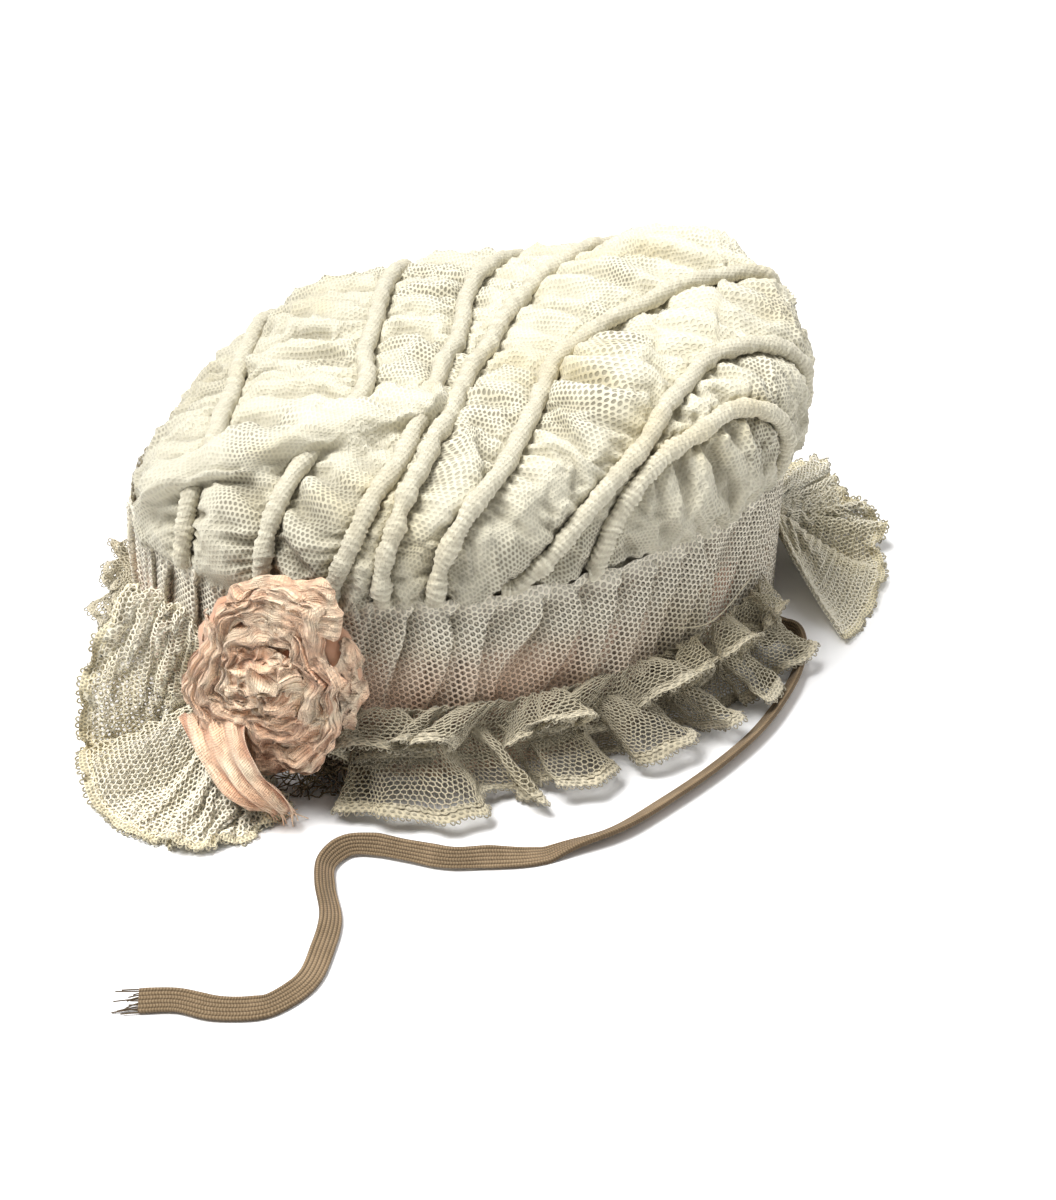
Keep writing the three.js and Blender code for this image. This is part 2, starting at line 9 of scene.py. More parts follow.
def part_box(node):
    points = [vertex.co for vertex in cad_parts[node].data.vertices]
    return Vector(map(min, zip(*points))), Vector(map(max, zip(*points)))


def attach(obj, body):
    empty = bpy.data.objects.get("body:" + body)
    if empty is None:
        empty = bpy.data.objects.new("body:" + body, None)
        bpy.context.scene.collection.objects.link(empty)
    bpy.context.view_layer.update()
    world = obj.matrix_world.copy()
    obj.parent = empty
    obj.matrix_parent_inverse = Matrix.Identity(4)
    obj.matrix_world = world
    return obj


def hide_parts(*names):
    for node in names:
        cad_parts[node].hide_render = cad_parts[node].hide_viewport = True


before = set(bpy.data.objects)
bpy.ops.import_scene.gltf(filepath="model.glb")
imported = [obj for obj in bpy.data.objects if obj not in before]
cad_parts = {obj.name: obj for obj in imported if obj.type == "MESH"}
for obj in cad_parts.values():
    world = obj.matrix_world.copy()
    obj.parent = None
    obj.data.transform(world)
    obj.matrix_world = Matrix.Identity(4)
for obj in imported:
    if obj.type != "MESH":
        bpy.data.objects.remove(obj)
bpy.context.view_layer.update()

# Sizes in millimetres, and tables, as in the part's source.
BAND_SIDE = 68.0
BAND_LONG = 85.0
BAND_HEIGHT = 45.0
CROWN_RISE = 30.0
LEAST_SLOPE = 16.0
CORD_WIDTH = 4.5
CORD_LIFT = 0.8
FAN_REACH = 36.0
FRILL_REACH = 14.0
ROSETTE_WIDTH = 42.0
ROSETTE_TALL = 43.0
ROSETTE_DEPTH = 11.0
ROSETTE_OFF = 8.5
ROSETTE_UP = 30.5
ROSETTE_ANGLE = 303.0
ROSETTE_LEAN = 9.0
TAIL_WIDTH = 9.0
TIE_WIDTH = 5.0

# The cloth's own measures, in millimetres.
PLEATS = 54
NET_HEADING = 2.4
NET_TURNING = 13.0
PLEAT_RUN = 0.6
HEM_WIDTH = 3.0
HEM_LAP = 1.5
PICOT_STEP = 1.7
FAN_DROP = 43.0
FAN_MESH = 1.5
FAN_FULLNESS = 1.28
RIBBON_RUN = 240.0
RIBBON_WIDTH = 12.0
CORD_GATHER = 1.45

# Thread radii and mesh widths in metres, as materials and node trees take them.
LACE_THREAD = 0.0002
FAN_THREAD = 0.00028
DARK_THREAD = 0.00018
FRAY_THREAD = 0.00016
CROWN_MESH = 0.00102
CORD_MESH = 0.00105
BAND_MESH = 0.00142
HEM_MESH = 0.0010
UNDER_MESH = 0.00135

# How many points the cloth, the tubes and the nets have.
CROWN_GRID = 141
CORD_STEPS, CORD_SIDES = 300, 18
TIE_STEPS, TIE_SIDES, TIE_RIBS = 300, 32, 5
NET_COLUMNS = 1900

# The crown's profile: share of the way down from the top, reach, height.
PROFILE = np.array([
    (0.00, 0.000, 1.000),
    (0.22, 0.350, 0.975),
    (0.40, 0.640, 0.910),
    (0.54, 0.850, 0.790),
    (0.66, 0.990, 0.620),
    (0.76, 1.060, 0.420),
    (0.85, 1.075, 0.220),
    (0.93, 1.045, 0.070),
    (1.00, 1.000, 0.000),
])

# The crown's slump every 45 degrees: swell of its side, lift of its shoulder.
SLUMP = np.array([
    (-0.075, 0.069),
    (-0.021, 0.144),
    (-0.108, 0.220),
    (-0.029, 0.039),
    (0.064, -0.008),
    (-0.116, -0.142),
    (-0.093, -0.046),
    (-0.060, 0.012),
])

# The cords: front angle, back angle, sway at each eighth of the chord.
CORDS = [
    (-79, 174, (-0.135, -0.21, -0.19, -0.14, -0.09, -0.04, -0.015)),
    (-60, 155, (-0.065, -0.13, -0.165, -0.11, -0.07, -0.03, -0.01)),
    (-51, 135, (-0.07, -0.10, -0.075, -0.03, 0.03, 0.05, 0.03)),
    (-42, 117, (0.02, 0.045, 0.09, 0.13, 0.15, 0.12, 0.06)),
    (-34, 75, (0.10, 0.16, 0.25, 0.35, 0.33, 0.23, 0.08)),
    (-24, 54, (0.02, 0.08, 0.15, 0.24, 0.29, 0.21, 0.07)),
    (-9, 38, (0.11, 0.19, 0.235, 0.25, 0.25, 0.19, 0.10)),
]

# The crown's folds on its disc: ridge from, ridge to, half width, rise and lean to the right in mm.
# The first two are the drape that hides part of two cords.
FOLDS = [
    ((0.00, -0.64), (0.12, -0.46), 0.070, 3.8, 4.0),
    ((0.12, -0.46), (0.20, -0.20), 0.070, 4.0, 4.5),
    ((0.33, -0.39), (0.18, -0.24), 0.035, -2.0, 0.0),
    ((0.31, -0.21), (0.52, -0.29), 0.035, 3.0, -3.0),
    ((0.61, -0.58), (0.55, -0.34), 0.035, 2.6, 2.0),
    ((0.64, -0.44), (0.71, -0.30), 0.040, 2.6, -1.5),
    ((0.60, -0.25), (0.56, -0.16), 0.060, 3.2, 2.0),
    ((0.31, 0.02), (0.59, -0.04), 0.040, 2.4, 2.2),
    ((0.21, 0.15), (0.48, 0.02), 0.040, 2.4, 2.0),
    ((0.22, 0.23), (0.46, 0.08), 0.040, 2.6, -2.0),
    ((0.32, 0.26), (0.44, 0.20), 0.035, 2.2, 1.5),
    ((0.18, 0.40), (0.41, 0.25), 0.045, 3.4, -3.0),
    ((0.24, 0.46), (0.38, 0.35), 0.040, 2.6, 2.0),
    ((0.71, 0.00), (0.85, 0.14), 0.060, 2.2, 1.5),
    ((0.86, 0.15), (0.97, 0.15), 0.060, 2.4, 2.0),
    ((0.08, -0.06), (0.29, -0.18), 0.035, 2.2, 2.0),
    ((-0.48, -0.12), (-0.24, -0.10), 0.050, 1.8, 1.5),
    ((-0.44, -0.27), (-0.02, -0.24), 0.050, 1.8, 1.5),
    ((-0.24, -0.38), (0.04, -0.33), 0.050, 1.8, -1.5),
    ((-0.05, -0.66), (-0.04, -0.91), 0.080, 2.6, 0.0),
    ((0.22, -0.70), (0.35, -0.76), 0.060, 2.6, 0.0),
    ((0.43, -0.57), (0.56, -0.61), 0.050, 2.4, 1.0),
    ((0.82, -0.41), (0.76, -0.23), 0.040, 2.0, 1.0),
    ((0.92, 0.31), (0.80, 0.39), 0.080, 2.0, 0.0),
    ((0.61, 0.17), (0.59, 0.37), 0.050, 1.6, 1.0),
    ((-0.60, -0.45), (-0.25, -0.62), 0.080, 2.0, 1.5),
    ((-0.45, 0.35), (-0.75, 0.15), 0.090, 2.0, 1.5),
    ((0.00, 0.80), (-0.10, 0.50), 0.090, 2.0, 1.5),
]

# The frill strips: name, from and to angles, seam height, hem height, drop, fullness, wave,
# how far the hem turns in its loops in radians, the shares of its swing that go out and up, mesh.
FRILLS = [
    ("ruffle_front_upper", 314, 396, 20.5, 13.0, 15.5, 3.0, 12.5, 2.10, 0.60, 1.05, 1.32),
    ("ruffle_front_lower", 314, 396, 15.5, 2.4, 21.0, 2.3, 16.0, 1.75, 0.95, 0.40, 1.15),
    ("ruffle_back_upper", 112, 255, 20.5, 13.0, 14.0, 2.1, 13.0, 1.55, 0.45, 0.90, 1.60),
    ("ruffle_back_lower", 112, 255, 15.5, 2.4, 19.0, 1.8, 17.0, 1.35, 0.85, 0.36, 1.55),
]

# The reach of the lower and upper frills along the front strip, and along the back one.
REACHES = {
    "ruffle_front_upper": (0.80, 0.72, 0.68, 0.66, 0.62, 0.64, 0.50),
    "ruffle_front_lower": (1.29, 1.21, 0.92, 0.90, 1.00, 1.00, 0.57),
    "ruffle_back_upper": (0.60, 0.64, 0.64, 0.64, 0.64, 0.64, 0.57),
    "ruffle_back_lower": (0.86, 0.93, 1.00, 1.00, 1.00, 0.93, 0.86),
}

# The lace fans: angle, gather height, sink, and edge rows of side, out and up.
FANS = {
    "lace_fan_front": (290, 0.611, 1.0, [
        (-0.611, 0.083, 1.167),
        (-0.750, 0.306, 0.750),
        (-0.750, 0.528, 0.306),
        (-0.500, 0.806, 0.083),
        (-0.028, 0.944, 0.042),
        (0.306, 0.972, 0.028),
        (0.528, 0.667, 0.028),
        (0.611, 0.333, 0.028),
    ]),
    "lace_fan_back": (66, 0.556, 0.5, [
        (-1.139, 0.389, 0.028),
        (-0.556, 0.639, 0.028),
        (-0.056, 0.861, 0.083),
        (0.278, 0.917, 0.194),
        (0.444, 0.694, 0.333),
        (0.833, 0.722, 0.250),
        (1.167, 0.667, 0.222),
        (1.278, 0.333, 0.278),
    ]),
}

# The ribbon tail's middle line: side, out, up.
TAIL = np.array([
    (-0.33, 0.30, 0.58),
    (-0.23, 0.45, 0.44),
    (-0.09, 0.54, 0.31),
    (0.04, 0.52, 0.19),
    (0.08, 0.45, 0.07),
])

# The tie's route.
TIE_ROUTE = np.array([
    (0.616, 0.646, 0.059), (0.659, 0.675, 0.049), (0.712, 0.700, 0.035), (0.776, 0.665, 0.024),
    (0.859, 0.576, 0.018), (0.941, 0.447, 0.015), (1.024, 0.271, 0.015), (1.082, 0.071, 0.015),
    (1.118, -0.118, 0.015), (1.141, -0.306, 0.015), (1.118, -0.447, 0.015), (1.094, -0.553, 0.015),
    (1.047, -0.647, 0.015), (1.000, -0.729, 0.015), (0.918, -0.800, 0.015), (0.847, -0.859, 0.015),
    (0.812, -0.918, 0.015), (0.835, -0.988, 0.015), (0.906, -1.035, 0.015), (1.012, -1.082, 0.015),
    (1.094, -1.153, 0.015), (1.165, -1.235, 0.015), (1.188, -1.329, 0.015), (1.176, -1.388, 0.015),
    (1.129, -1.459, 0.015), (1.059, -1.518, 0.015), (1.012, -1.588, 0.015),
])

# How far the tie is turned up from the table, in degrees, at even steps along it.
TIE_TILT = (80, 90, 102, 122, 134, 142, 146, 150, 195, 232, 240, 240, 230, 216, 205, 196, 196, 206,
            214, 210)

CAMERA = {"azimuth": 56.0, "elevation": 28.0, "distance": 480.0, "lens": 57.6}
CAMERA_TARGET = (0.0, 0.0, 40.0)
TARGET_PIXEL = (467.0, 470.0)
PHOTO_WIDTH, PHOTO_HEIGHT = 1056.0, 1200.0
SENSOR = 36.0

lining_low, lining_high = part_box("band_lining")
SHIFT = np.array([
    500.0 * (lining_low[0] + lining_high[0]),
    500.0 * (lining_low[1] + lining_high[1]),
    0.0,
])


# Curves and surfaces of the hat

def blend(before, start, end, after, part):
    first = 2 * start + (end - before) * part
    second = (2 * before - 5 * start + 4 * end - after) * part ** 2
    third = (3 * start - before - 3 * end + after) * part ** 3
    return (first + second + third) / 2


def between(values, share):
    """A smooth value between rows placed at even steps."""
    values = np.asarray(values, float)
    last = len(values) - 1
    place = np.clip(share, 0, 1) * last
    start = np.minimum(np.floor(place).astype(int), last - 1)
    part = place - start
    if values.ndim > 1:
        part = part[..., None]
    pick = [values[np.clip(start + step, 0, last)] for step in (-1, 0, 1, 2)]
    return blend(*pick, part)


def around(values, angle):
    """The same for values that follow each other round the whole turn."""
    count = len(values)
    place = np.mod(angle / (2 * np.pi), 1) * count
    start = np.floor(place).astype(int)
    pick = [values[(start + step) % count] for step in (-1, 0, 1, 2)]
    return blend(*pick, place - start)


def profile_at(share, column):
    places, values = PROFILE[:, 0], PROFILE[:, column]
    slope = np.gradient(values)
    slope[1:-1] = (values[2:] - values[:-2]) / (places[2:] - places[:-2])
    slope[0] = (values[1] - values[0]) / (places[1] - places[0])
    slope[-1] = (values[-1] - values[-2]) / (places[-1] - places[-2])
    row = np.clip(np.searchsorted(places, share, side="right") - 1, 0, len(places) - 2)
    run = places[row + 1] - places[row]
    part = (share - places[row]) / run
    square, cube = part ** 2, part ** 3
    return (
        (2 * cube - 3 * square + 1) * values[row]
        + (cube - 2 * square + part) * run * slope[row]
        + (3 * square - 2 * cube) * values[row + 1]
        + (cube - square) * run * slope[row + 1]
    )


def crown_base(across, along):
    """The smooth crown at a place on the flattened disc."""
    share = np.minimum(np.hypot(across, along), 1)
    angle = np.arctan2(along, across)
    side = np.exp(-(((share - 0.8) / 0.2) ** 2))
    shoulder = 1.9 * share ** 1.2 * (1 - share ** 5)
    swell = BAND_LONG * around(SLUMP[:, 0], angle) * side
    lift = BAND_LONG * around(SLUMP[:, 1], angle) * shoulder
    reach = profile_at(share, 1)
    height = CROWN_RISE * profile_at(share, 2) + lift
    return np.stack([
        (BAND_SIDE * reach + swell) * np.cos(angle),
        (BAND_LONG * reach + swell) * np.sin(angle),
        BAND_HEIGHT + np.maximum(height, LEAST_SLOPE * (1 - share)),
    ], -1)


def crown_normal(across, along):
    share = np.hypot(across, along)
    inward = np.where(share > 0.98, 0.98 / np.maximum(share, 1e-6), 1)
    x, y, step = across * inward, along * inward, 0.012
    along_x = crown_base(x + step, y) - crown_base(x - step, y)
    along_y = crown_base(x, y + step) - crown_base(x, y - step)
    return unit(np.cross(along_x, along_y))


def unit(vectors):
    return vectors / np.maximum(np.linalg.norm(vectors, axis=-1, keepdims=True), 1e-9)


def smoothstep(low, high, value):
    share = np.clip((value - low) / (high - low), 0, 1)
    return share * share * (3 - 2 * share)


def stacked(*parts):
    """Values side by side as places."""
    return np.stack(np.broadcast_arrays(*parts), -1)


def way_along(line):
    """The way along a line to each of its points."""
    return np.concatenate([[0], np.cumsum(np.linalg.norm(np.diff(line, axis=0), axis=1))])


def surface_normal(grid):
    return unit(np.cross(np.gradient(grid, axis=0), np.gradient(grid, axis=1)))


def keep_above(points, least):
    """Lifts the points that are under a least height."""
    points[..., 2] = np.maximum(points[..., 2], least)
    return points


def cord_way(cord, share):
    front, back, sway = cord
    start = np.array([math.cos(math.radians(front)), math.sin(math.radians(front))])
    end = np.array([math.cos(math.radians(back)), math.sin(math.radians(back))])
    chord = end - start
    left = np.array([-chord[1], chord[0]]) / np.linalg.norm(chord)
    shift = between((0, *sway, 0), share)
    return start + chord * share[:, None] + left * shift[:, None]


def cord_line(cord, count):
    """The cord's middle line over the crown."""
    place = cord_way(cord, np.linspace(0.02, 0.98, count))
    lift = CORD_LIFT * crown_normal(place[:, 0], place[:, 1])
    points = crown_base(place[:, 0], place[:, 1]) + lift
    return keep_above(points, BAND_HEIGHT + CORD_WIDTH / 2 + 0.3)


def band_normal(angle):
    normal = np.stack([BAND_LONG * np.cos(angle), BAND_SIDE * np.sin(angle), 0 * angle], -1)
    return unit(normal)


def band_point(angle, out, up):
    angle, out, up = np.broadcast_arrays(angle, out, up)
    foot = np.stack([BAND_SIDE * np.cos(angle), BAND_LONG * np.sin(angle), up], -1)
    return foot + band_normal(angle) * np.asarray(out)[..., None]


def ripple(points, length, seed, waves=14):
    """Soft irregular waves of about one length, between -1 and 1."""
    chance = np.random.default_rng(seed)
    points = np.asarray(points, float)
    total = np.zeros(points.shape[:-1])
    for _ in range(waves):
        way = chance.normal(size=points.shape[-1])
        way *= 2 * np.pi / (length * chance.uniform(0.7, 1.5) * np.linalg.norm(way))
        total += np.sin(points @ way + chance.uniform(0, 2 * np.pi))
    return total / math.sqrt(waves)


def creases(points, length, seed):
    """Sharp ridges between soft hollows, between 0 and 1."""
    return 1 - np.minimum(np.abs(ripple(points, length, seed)), 1)


def shaken(points, length, seed):
    """Soft waves that move points in each direction."""
    return np.stack([ripple(points, length, seed + axis) for axis in range(3)], -1)


# Cloth

class Cloth:
    """A grid of points joined by threads that keep their length."""

    def __init__(self, points, pinned):
        self.shape = points.shape[:2]
        self.points = points.reshape(-1, 3).copy()
        self.free = (~pinned.ravel()).astype(float)
        self.groups = []

    def join(self, step, rest, stiffness, only_push=False):
        """Joins each point to the one a step away. rest gives the length of each thread."""
        rows, columns = self.shape
        number = np.arange(rows * columns).reshape(rows, columns)
        across, along = step
        start = number[:rows - across, max(0, -along):columns - max(0, along)]
        end = number[across:, max(0, along):columns + min(0, along)]
        lead = across if across else along
        places = np.arange(start.shape[0] if across else start.shape[1])
        for turn in (0, 1):
            keep = (places // lead) % 2 == turn
            a = (start[keep] if across else start[:, keep]).ravel()
            b = (end[keep] if across else end[:, keep]).ravel()
            length = rest(a, b)
            share = self.free[a] + self.free[b]
            moving = share > 0
            a, b, length, share = a[moving], b[moving], length[moving], share[moving]
            pull_a = (self.free[a] / share * stiffness)[:, None]
            pull_b = (self.free[b] / share * stiffness)[:, None]
            self.groups.append((a, b, length, pull_a, pull_b, only_push))

    def settle(self, rounds, push, limit):
        """Each round pushes the free points and lets the threads and the limit pull them back."""
        for _ in range(rounds):
            self.points += push * self.free[:, None]
            for a, b, length, pull_a, pull_b, only_push in self.groups:
                apart = self.points[b] - self.points[a]
                now = np.maximum(np.linalg.norm(apart, axis=1), 1e-6)
                change = (now - length) / now
                if only_push:
                    change = np.minimum(change, 0)
                change = apart * change[:, None]
                self.points[a] += change * pull_a
                self.points[b] -= change * pull_b
            self.points = limit(self.points)
        return self.points.reshape(*self.shape, 3)


def finer(grid):
    """Twice as many points each way, on smooth curves through the old ones."""
    for axis in (0, 1):
        grid = np.moveaxis(grid, axis, 0)
        padded = np.concatenate([2 * grid[:1] - grid[1:2], grid, 2 * grid[-1:] - grid[-2:-1]])
        middle = (9 * (padded[1:-2] + padded[2:-1]) - padded[:-3] - padded[3:]) / 16
        made = np.empty((2 * len(grid) - 1, *grid.shape[1:]))
        made[0::2] = grid
        made[1::2] = middle
        grid = np.moveaxis(made, 0, axis)
    return grid


def disc_grid(count):
    """A square grid of places spread evenly over the flattened disc."""
    line = np.linspace(-1, 1, count)
    a, b = np.meshgrid(line, line, indexing="ij")
    wide = np.abs(a) > np.abs(b)
    reach = np.where(wide, a, b)
    with np.errstate(divide="ignore", invalid="ignore"):
        turn = np.where(wide, np.pi / 4 * b / a, np.pi / 2 - np.pi / 4 * a / b)
    turn = np.nan_to_num(turn)
    return reach * np.cos(turn), reach * np.sin(turn)


def nearest_cord(points):
    """Distance to the nearest cord, and the cord's direction there."""
    best = np.full(len(points), 1e9)
    direction = np.zeros((len(points), 3))
    for cord in CORDS:
        place = cord_way(cord, np.linspace(0, 1, 161))
        line = crown_base(place[:, 0], place[:, 1])
        tangent = unit(np.gradient(line, axis=0))
        for start in range(0, len(points), 4000):
            part = slice(start, start + 4000)
            apart = np.linalg.norm(points[part, None] - line[None], axis=2)
            nearest = apart.argmin(1)
            distance = apart[np.arange(len(nearest)), nearest]
            closer = distance < best[part]
            best[part] = np.where(closer, distance, best[part])
            direction[part] = np.where(closer[:, None], tangent[nearest], direction[part])
    return best, direction


def fold_shift(across, along, folds):
    """The rise of folds in millimetres, and how far they lean over on the disc."""
    rise = np.zeros(across.shape)
    lean = np.zeros((*across.shape, 2))
    for start, end, width, height, over in folds:
        way = np.subtract(end, start)
        off_x, off_y = across - start[0], along - start[1]
        share = np.clip((off_x * way[0] + off_y * way[1]) / (way @ way), 0, 1)
        bump = np.exp(-np.hypot(off_x - share * way[0], off_y - share * way[1]) ** 2 / width ** 2)
        rise += height * bump
        side = np.array([way[1], -way[0]]) / np.linalg.norm(way)
        lean += (over / 100 * bump)[..., None] * side
    return rise, lean


def across_cords(base):
    """Places stretched so that waves made from them run from cord to cord."""
    x, y, z = base[:, 0], base[:, 1], base[:, 2]
    return stacked(0.25 * (0.92 * x + 0.40 * y), 0.92 * y - 0.40 * x, 0.5 * z)


def crown_cloth():
    """The crown's net, full between its cords, and its points' places on the disc."""
    across, along = disc_grid(CROWN_GRID)
    shape = across.shape
    across, along = across.ravel(), along.ravel()
    base = crown_base(across, along)
    normal = crown_normal(across, along)
    apart, direction = nearest_cord(base)
    share = np.hypot(across, along)
    at_band = 1 - smoothstep(0.90, 1.0, share)
    fold, _ = fold_shift(across, along, FOLDS)
    drape, _ = fold_shift(across, along, FOLDS[:2])
    over_cord = smoothstep(0.9, 2.2, drape)
    full = np.maximum(1 - np.exp(-((apart / 5.0) ** 2)), over_cord)
    height = -1.2 + (1.5 + 0.75 * fold + 1.4 * over_cord) * full
    height += (0.7 * ripple(across_cords(base), 8.0, 5) + 0.4 * ripple(base, 14.0, 6)) * full
    start = base + normal * (height * at_band)[:, None]
    rim = share > 0.995
    start[rim] = band_point(np.arctan2(along, across)[rim], -1.3, 44.2)
    pinned = ((apart < 0.95) & (over_cord < 0.3)) | rim
    cloth = Cloth(start.reshape(*shape, 3), pinned.reshape(shape))
    slack = np.clip(0.75 + 0.45 * ripple(base, 34.0, 11), 0.25, 1.4)

    def rest(a, b):
        thread = base[b] - base[a]
        along_cord = (thread * (direction[a] + direction[b]) / 2).sum(1)
        other = np.maximum((thread ** 2).sum(1) - along_cord ** 2, 0)
        ease = (slack[a] + slack[b]) / 2
        full_length = np.sqrt((along_cord * (1 + 0.22 * ease)) ** 2 + other * (1 + 0.09 * ease) ** 2)
        return np.maximum(full_length, 0.98 * np.linalg.norm(start[b] - start[a], axis=1))

    for step in ((1, 0), (0, 1)):
        cloth.join(step, rest, 0.9)
    for step in ((1, 1), (1, -1)):
        cloth.join(step, rest, 0.35)
    for step in ((2, 0), (0, 2)):
        cloth.join(step, lambda a, b: rest(a, b) * 0.995, 0.16, True)

    push = 0.004 * normal
    push[:, 2] -= 0.004
    room = (3.3 + 0.8 * np.maximum(fold, 0) + 0.9 * over_cord) * full - 0.9

    def limit(points):
        off = ((points - base) * normal).sum(1)
        kept = np.clip(off, -2.2, room)
        return points + normal * (kept - off)[:, None]

    settled = cloth.settle(130, push, limit)
    return settled, stacked(across, along, 0 * across).reshape(*shape, 3)


def softened(values, reach):
    """Each value of a grid as the mean of those round it."""
    for axis in (0, 1):
        steps = range(-reach, reach + 1)
        values = sum(np.roll(values, step, axis) for step in steps) / len(steps)
    return values


def flat_net(across, along):
    """Places on the net laid flat, from each point's way over the crown from its top."""
    steps = np.linspace(0, 1, 21)
    way = crown_base(across[:, None] * steps, along[:, None] * steps)
    length = np.linalg.norm(np.diff(way, axis=1), axis=2).sum(1)
    turn = np.arctan2(BAND_LONG * along, BAND_SIDE * across)
    return stacked(length * np.cos(turn), length * np.sin(turn))


def crown_surface():
    """The settled net with its fine gathers, its places laid flat, and painted shade for its hollows."""
    settled, disc = crown_cloth()
    points, disc = finer(settled), finer(disc)
    shape = points.shape[:2]
    across, along = disc[..., 0].ravel(), disc[..., 1].ravel()
    base = crown_base(across, along)
    normal = crown_normal(across, along)
    apart, _ = nearest_cord(base)
    share = np.hypot(across, along)
    _, lean = fold_shift(across, along, FOLDS)
    free = (1 - np.exp(-((apart / 3.0) ** 2))) * (1 - smoothstep(0.86, 0.97, share))
    drape, _ = fold_shift(across, along, FOLDS[:2])
    free = np.maximum(free, smoothstep(0.9, 2.2, drape))
    leant = crown_base(across + lean[:, 0] * free, along + lean[:, 1] * free) - base
    drawn = across_cords(base)
    near = np.exp(-((apart - 2.2) / 6.0) ** 2)
    gather = 0.30 * ripple(drawn, 3.0, 21) * (0.4 + 0.6 * near)
    gather += 0.7 * creases(drawn, 5.5, 27) ** 4
    gather += 1.1 * creases(drawn, 10.0, 25) ** 5 + 0.6 * creases(base, 13.0, 26) ** 6
    gather *= 1 - np.exp(-((apart / 2.6) ** 2))
    angle = np.arctan2(along, across)
    rim = smoothstep(0.88, 0.97, share) * (1 - smoothstep(0.985, 1.0, share))
    gather += 0.45 * rim * ripple(stacked(70 * np.cos(angle), 85 * np.sin(angle)), 3.4, 23)
    gather += 0.10 * ripple(base, 2.4, 24)
    lifted = leant + normal * gather[:, None]
    points = points + lifted.reshape(*shape, 3)
    height = ((points.reshape(-1, 3) - base) * normal).sum(1).reshape(shape)
    # painted shade: darker where the net lies below its softened surroundings, in hollows and creases
    hollow_shade = np.clip(softened(height, 6) - height, 0, 1) + 0.35 * np.clip(-height, 0, 1)
    return points, flat_net(across, along).reshape(*shape, 2), np.clip(hollow_shade, 0, 1)


def sweep(line, radius, sides):
    """A skin round a line. radius has a value for each point and side."""
    tangent = unit(np.gradient(line, axis=0))
    side = np.zeros_like(line)
    side[0] = unit(np.cross(tangent[0], (0, 0, 1.0)))
    for step in range(1, len(line)):
        moved = side[step - 1] - tangent[step] * (side[step - 1] @ tangent[step])
        side[step] = moved / np.linalg.norm(moved)
    over = np.cross(side, tangent)
    angle = np.linspace(0, 2 * np.pi, sides, endpoint=False)[None, :, None] - np.pi / 2
    ring = side[:, None] * np.cos(angle) + over[:, None] * np.sin(angle)
    return line[:, None] + ring * radius[..., None]


# Meshes

def grid_faces(rows, columns, ring=False):
    number = np.arange(rows * columns).reshape(rows, columns)
    if ring:
        number = np.concatenate([number, number[:, :1]], axis=1)
    quads = np.stack([number[:-1, :-1], number[1:, :-1], number[1:, 1:], number[:-1, 1:]], -1)
    return quads.reshape(-1, 4)


def tube_faces(rows, sides):
    """The faces of a tube, with its two ends."""
    faces = [tuple(face) for face in grid_faces(rows, sides, ring=True).tolist()]
    return faces + [tuple(range(sides)), tuple(reversed(range((rows - 1) * sides, rows * sides)))]


def new_object(name, data):
    made = bpy.data.objects.new(name, data)
    bpy.context.scene.collection.objects.link(made)
    return made


def new_piece(name, points, faces=(), flat=None, edges=(), finish=None, shades=None, girth=None):
    """A mesh object from points in millimetres. flat is each point's place on the flat cloth.

    girth is the way round a tube, for faces that join its last side to its first.
    """
    mesh = bpy.data.meshes.new(name)
    places = (np.asarray(points, float).reshape(-1, 3) + SHIFT) / 1000
    faces = faces.tolist() if isinstance(faces, np.ndarray) else faces
    mesh.from_pydata(places.tolist(), np.asarray(edges).tolist(), faces)
    if flat is not None:
        layer = mesh.uv_layers.new(name="flat_cloth")
        corner = np.empty(len(mesh.loops), dtype=np.int32)
        mesh.loops.foreach_get("vertex_index", corner)
        spread = np.asarray(flat, float).reshape(-1, 2)[corner]
        if girth:
            sides = spread[:len(spread) // 4 * 4, 1].reshape(-1, 4)
            torn = (np.ptp(sides, axis=1) > girth / 2)[:, None] & (sides < girth / 2)
            sides += girth * torn
            spread[:sides.size, 1] = sides.ravel()
        layer.data.foreach_set("uv", (spread / 1000).ravel())
    for title, values in (shades or {}).items():
        layer = mesh.attributes.new(title, "FLOAT", "POINT")
        layer.data.foreach_set("value", np.asarray(values, dtype=np.float32).ravel())
    if len(mesh.polygons):
        mesh.polygons.foreach_set("use_smooth", [True] * len(mesh.polygons))
    if finish is not None:
        mesh.materials.append(finish)
    mesh.update()
    return new_object(name, mesh)


def on_surface(surface, u, v):
    """Places on a grid of points, at shares u of its rows and v of its columns."""
    rows, columns = surface.shape[:2]
    a = np.clip(u, 0, 1) * (rows - 1)
    b = np.clip(v, 0, 1) * (columns - 1)
    i = np.minimum(a.astype(int), rows - 2)
    j = np.minimum(b.astype(int), columns - 2)
    p, q = (a - i)[..., None], (b - j)[..., None]
    low = surface[i, j] * (1 - q) + surface[i, j + 1] * q
    high = surface[i + 1, j] * (1 - q) + surface[i + 1, j + 1] * q
    return low * (1 - p) + high * p


def honeycomb(length, width, pitch):
    """Corners, as shares of length and width, and threads of a six-sided net."""
    side = pitch / math.sqrt(3)
    columns = 2 * max(round(length / pitch), 2)
    rows = max(round(width / (1.5 * side)), 2)
    row, column = np.meshgrid(np.arange(rows), np.arange(columns + 1), indexing="ij")
    even = (row + column) % 2 == 0
    v = (row + 0.5 + np.where(even, 0.25, -0.25) / 1.5) / rows
    number = np.arange(row.size).reshape(row.shape)
    along = np.stack([number[:, :-1], number[:, 1:]], -1).reshape(-1, 2)
    upright = np.stack([number[:-1][even[:-1]], number[1:][even[:-1]]], -1)
    return column / columns, v, np.concatenate([along, upright])


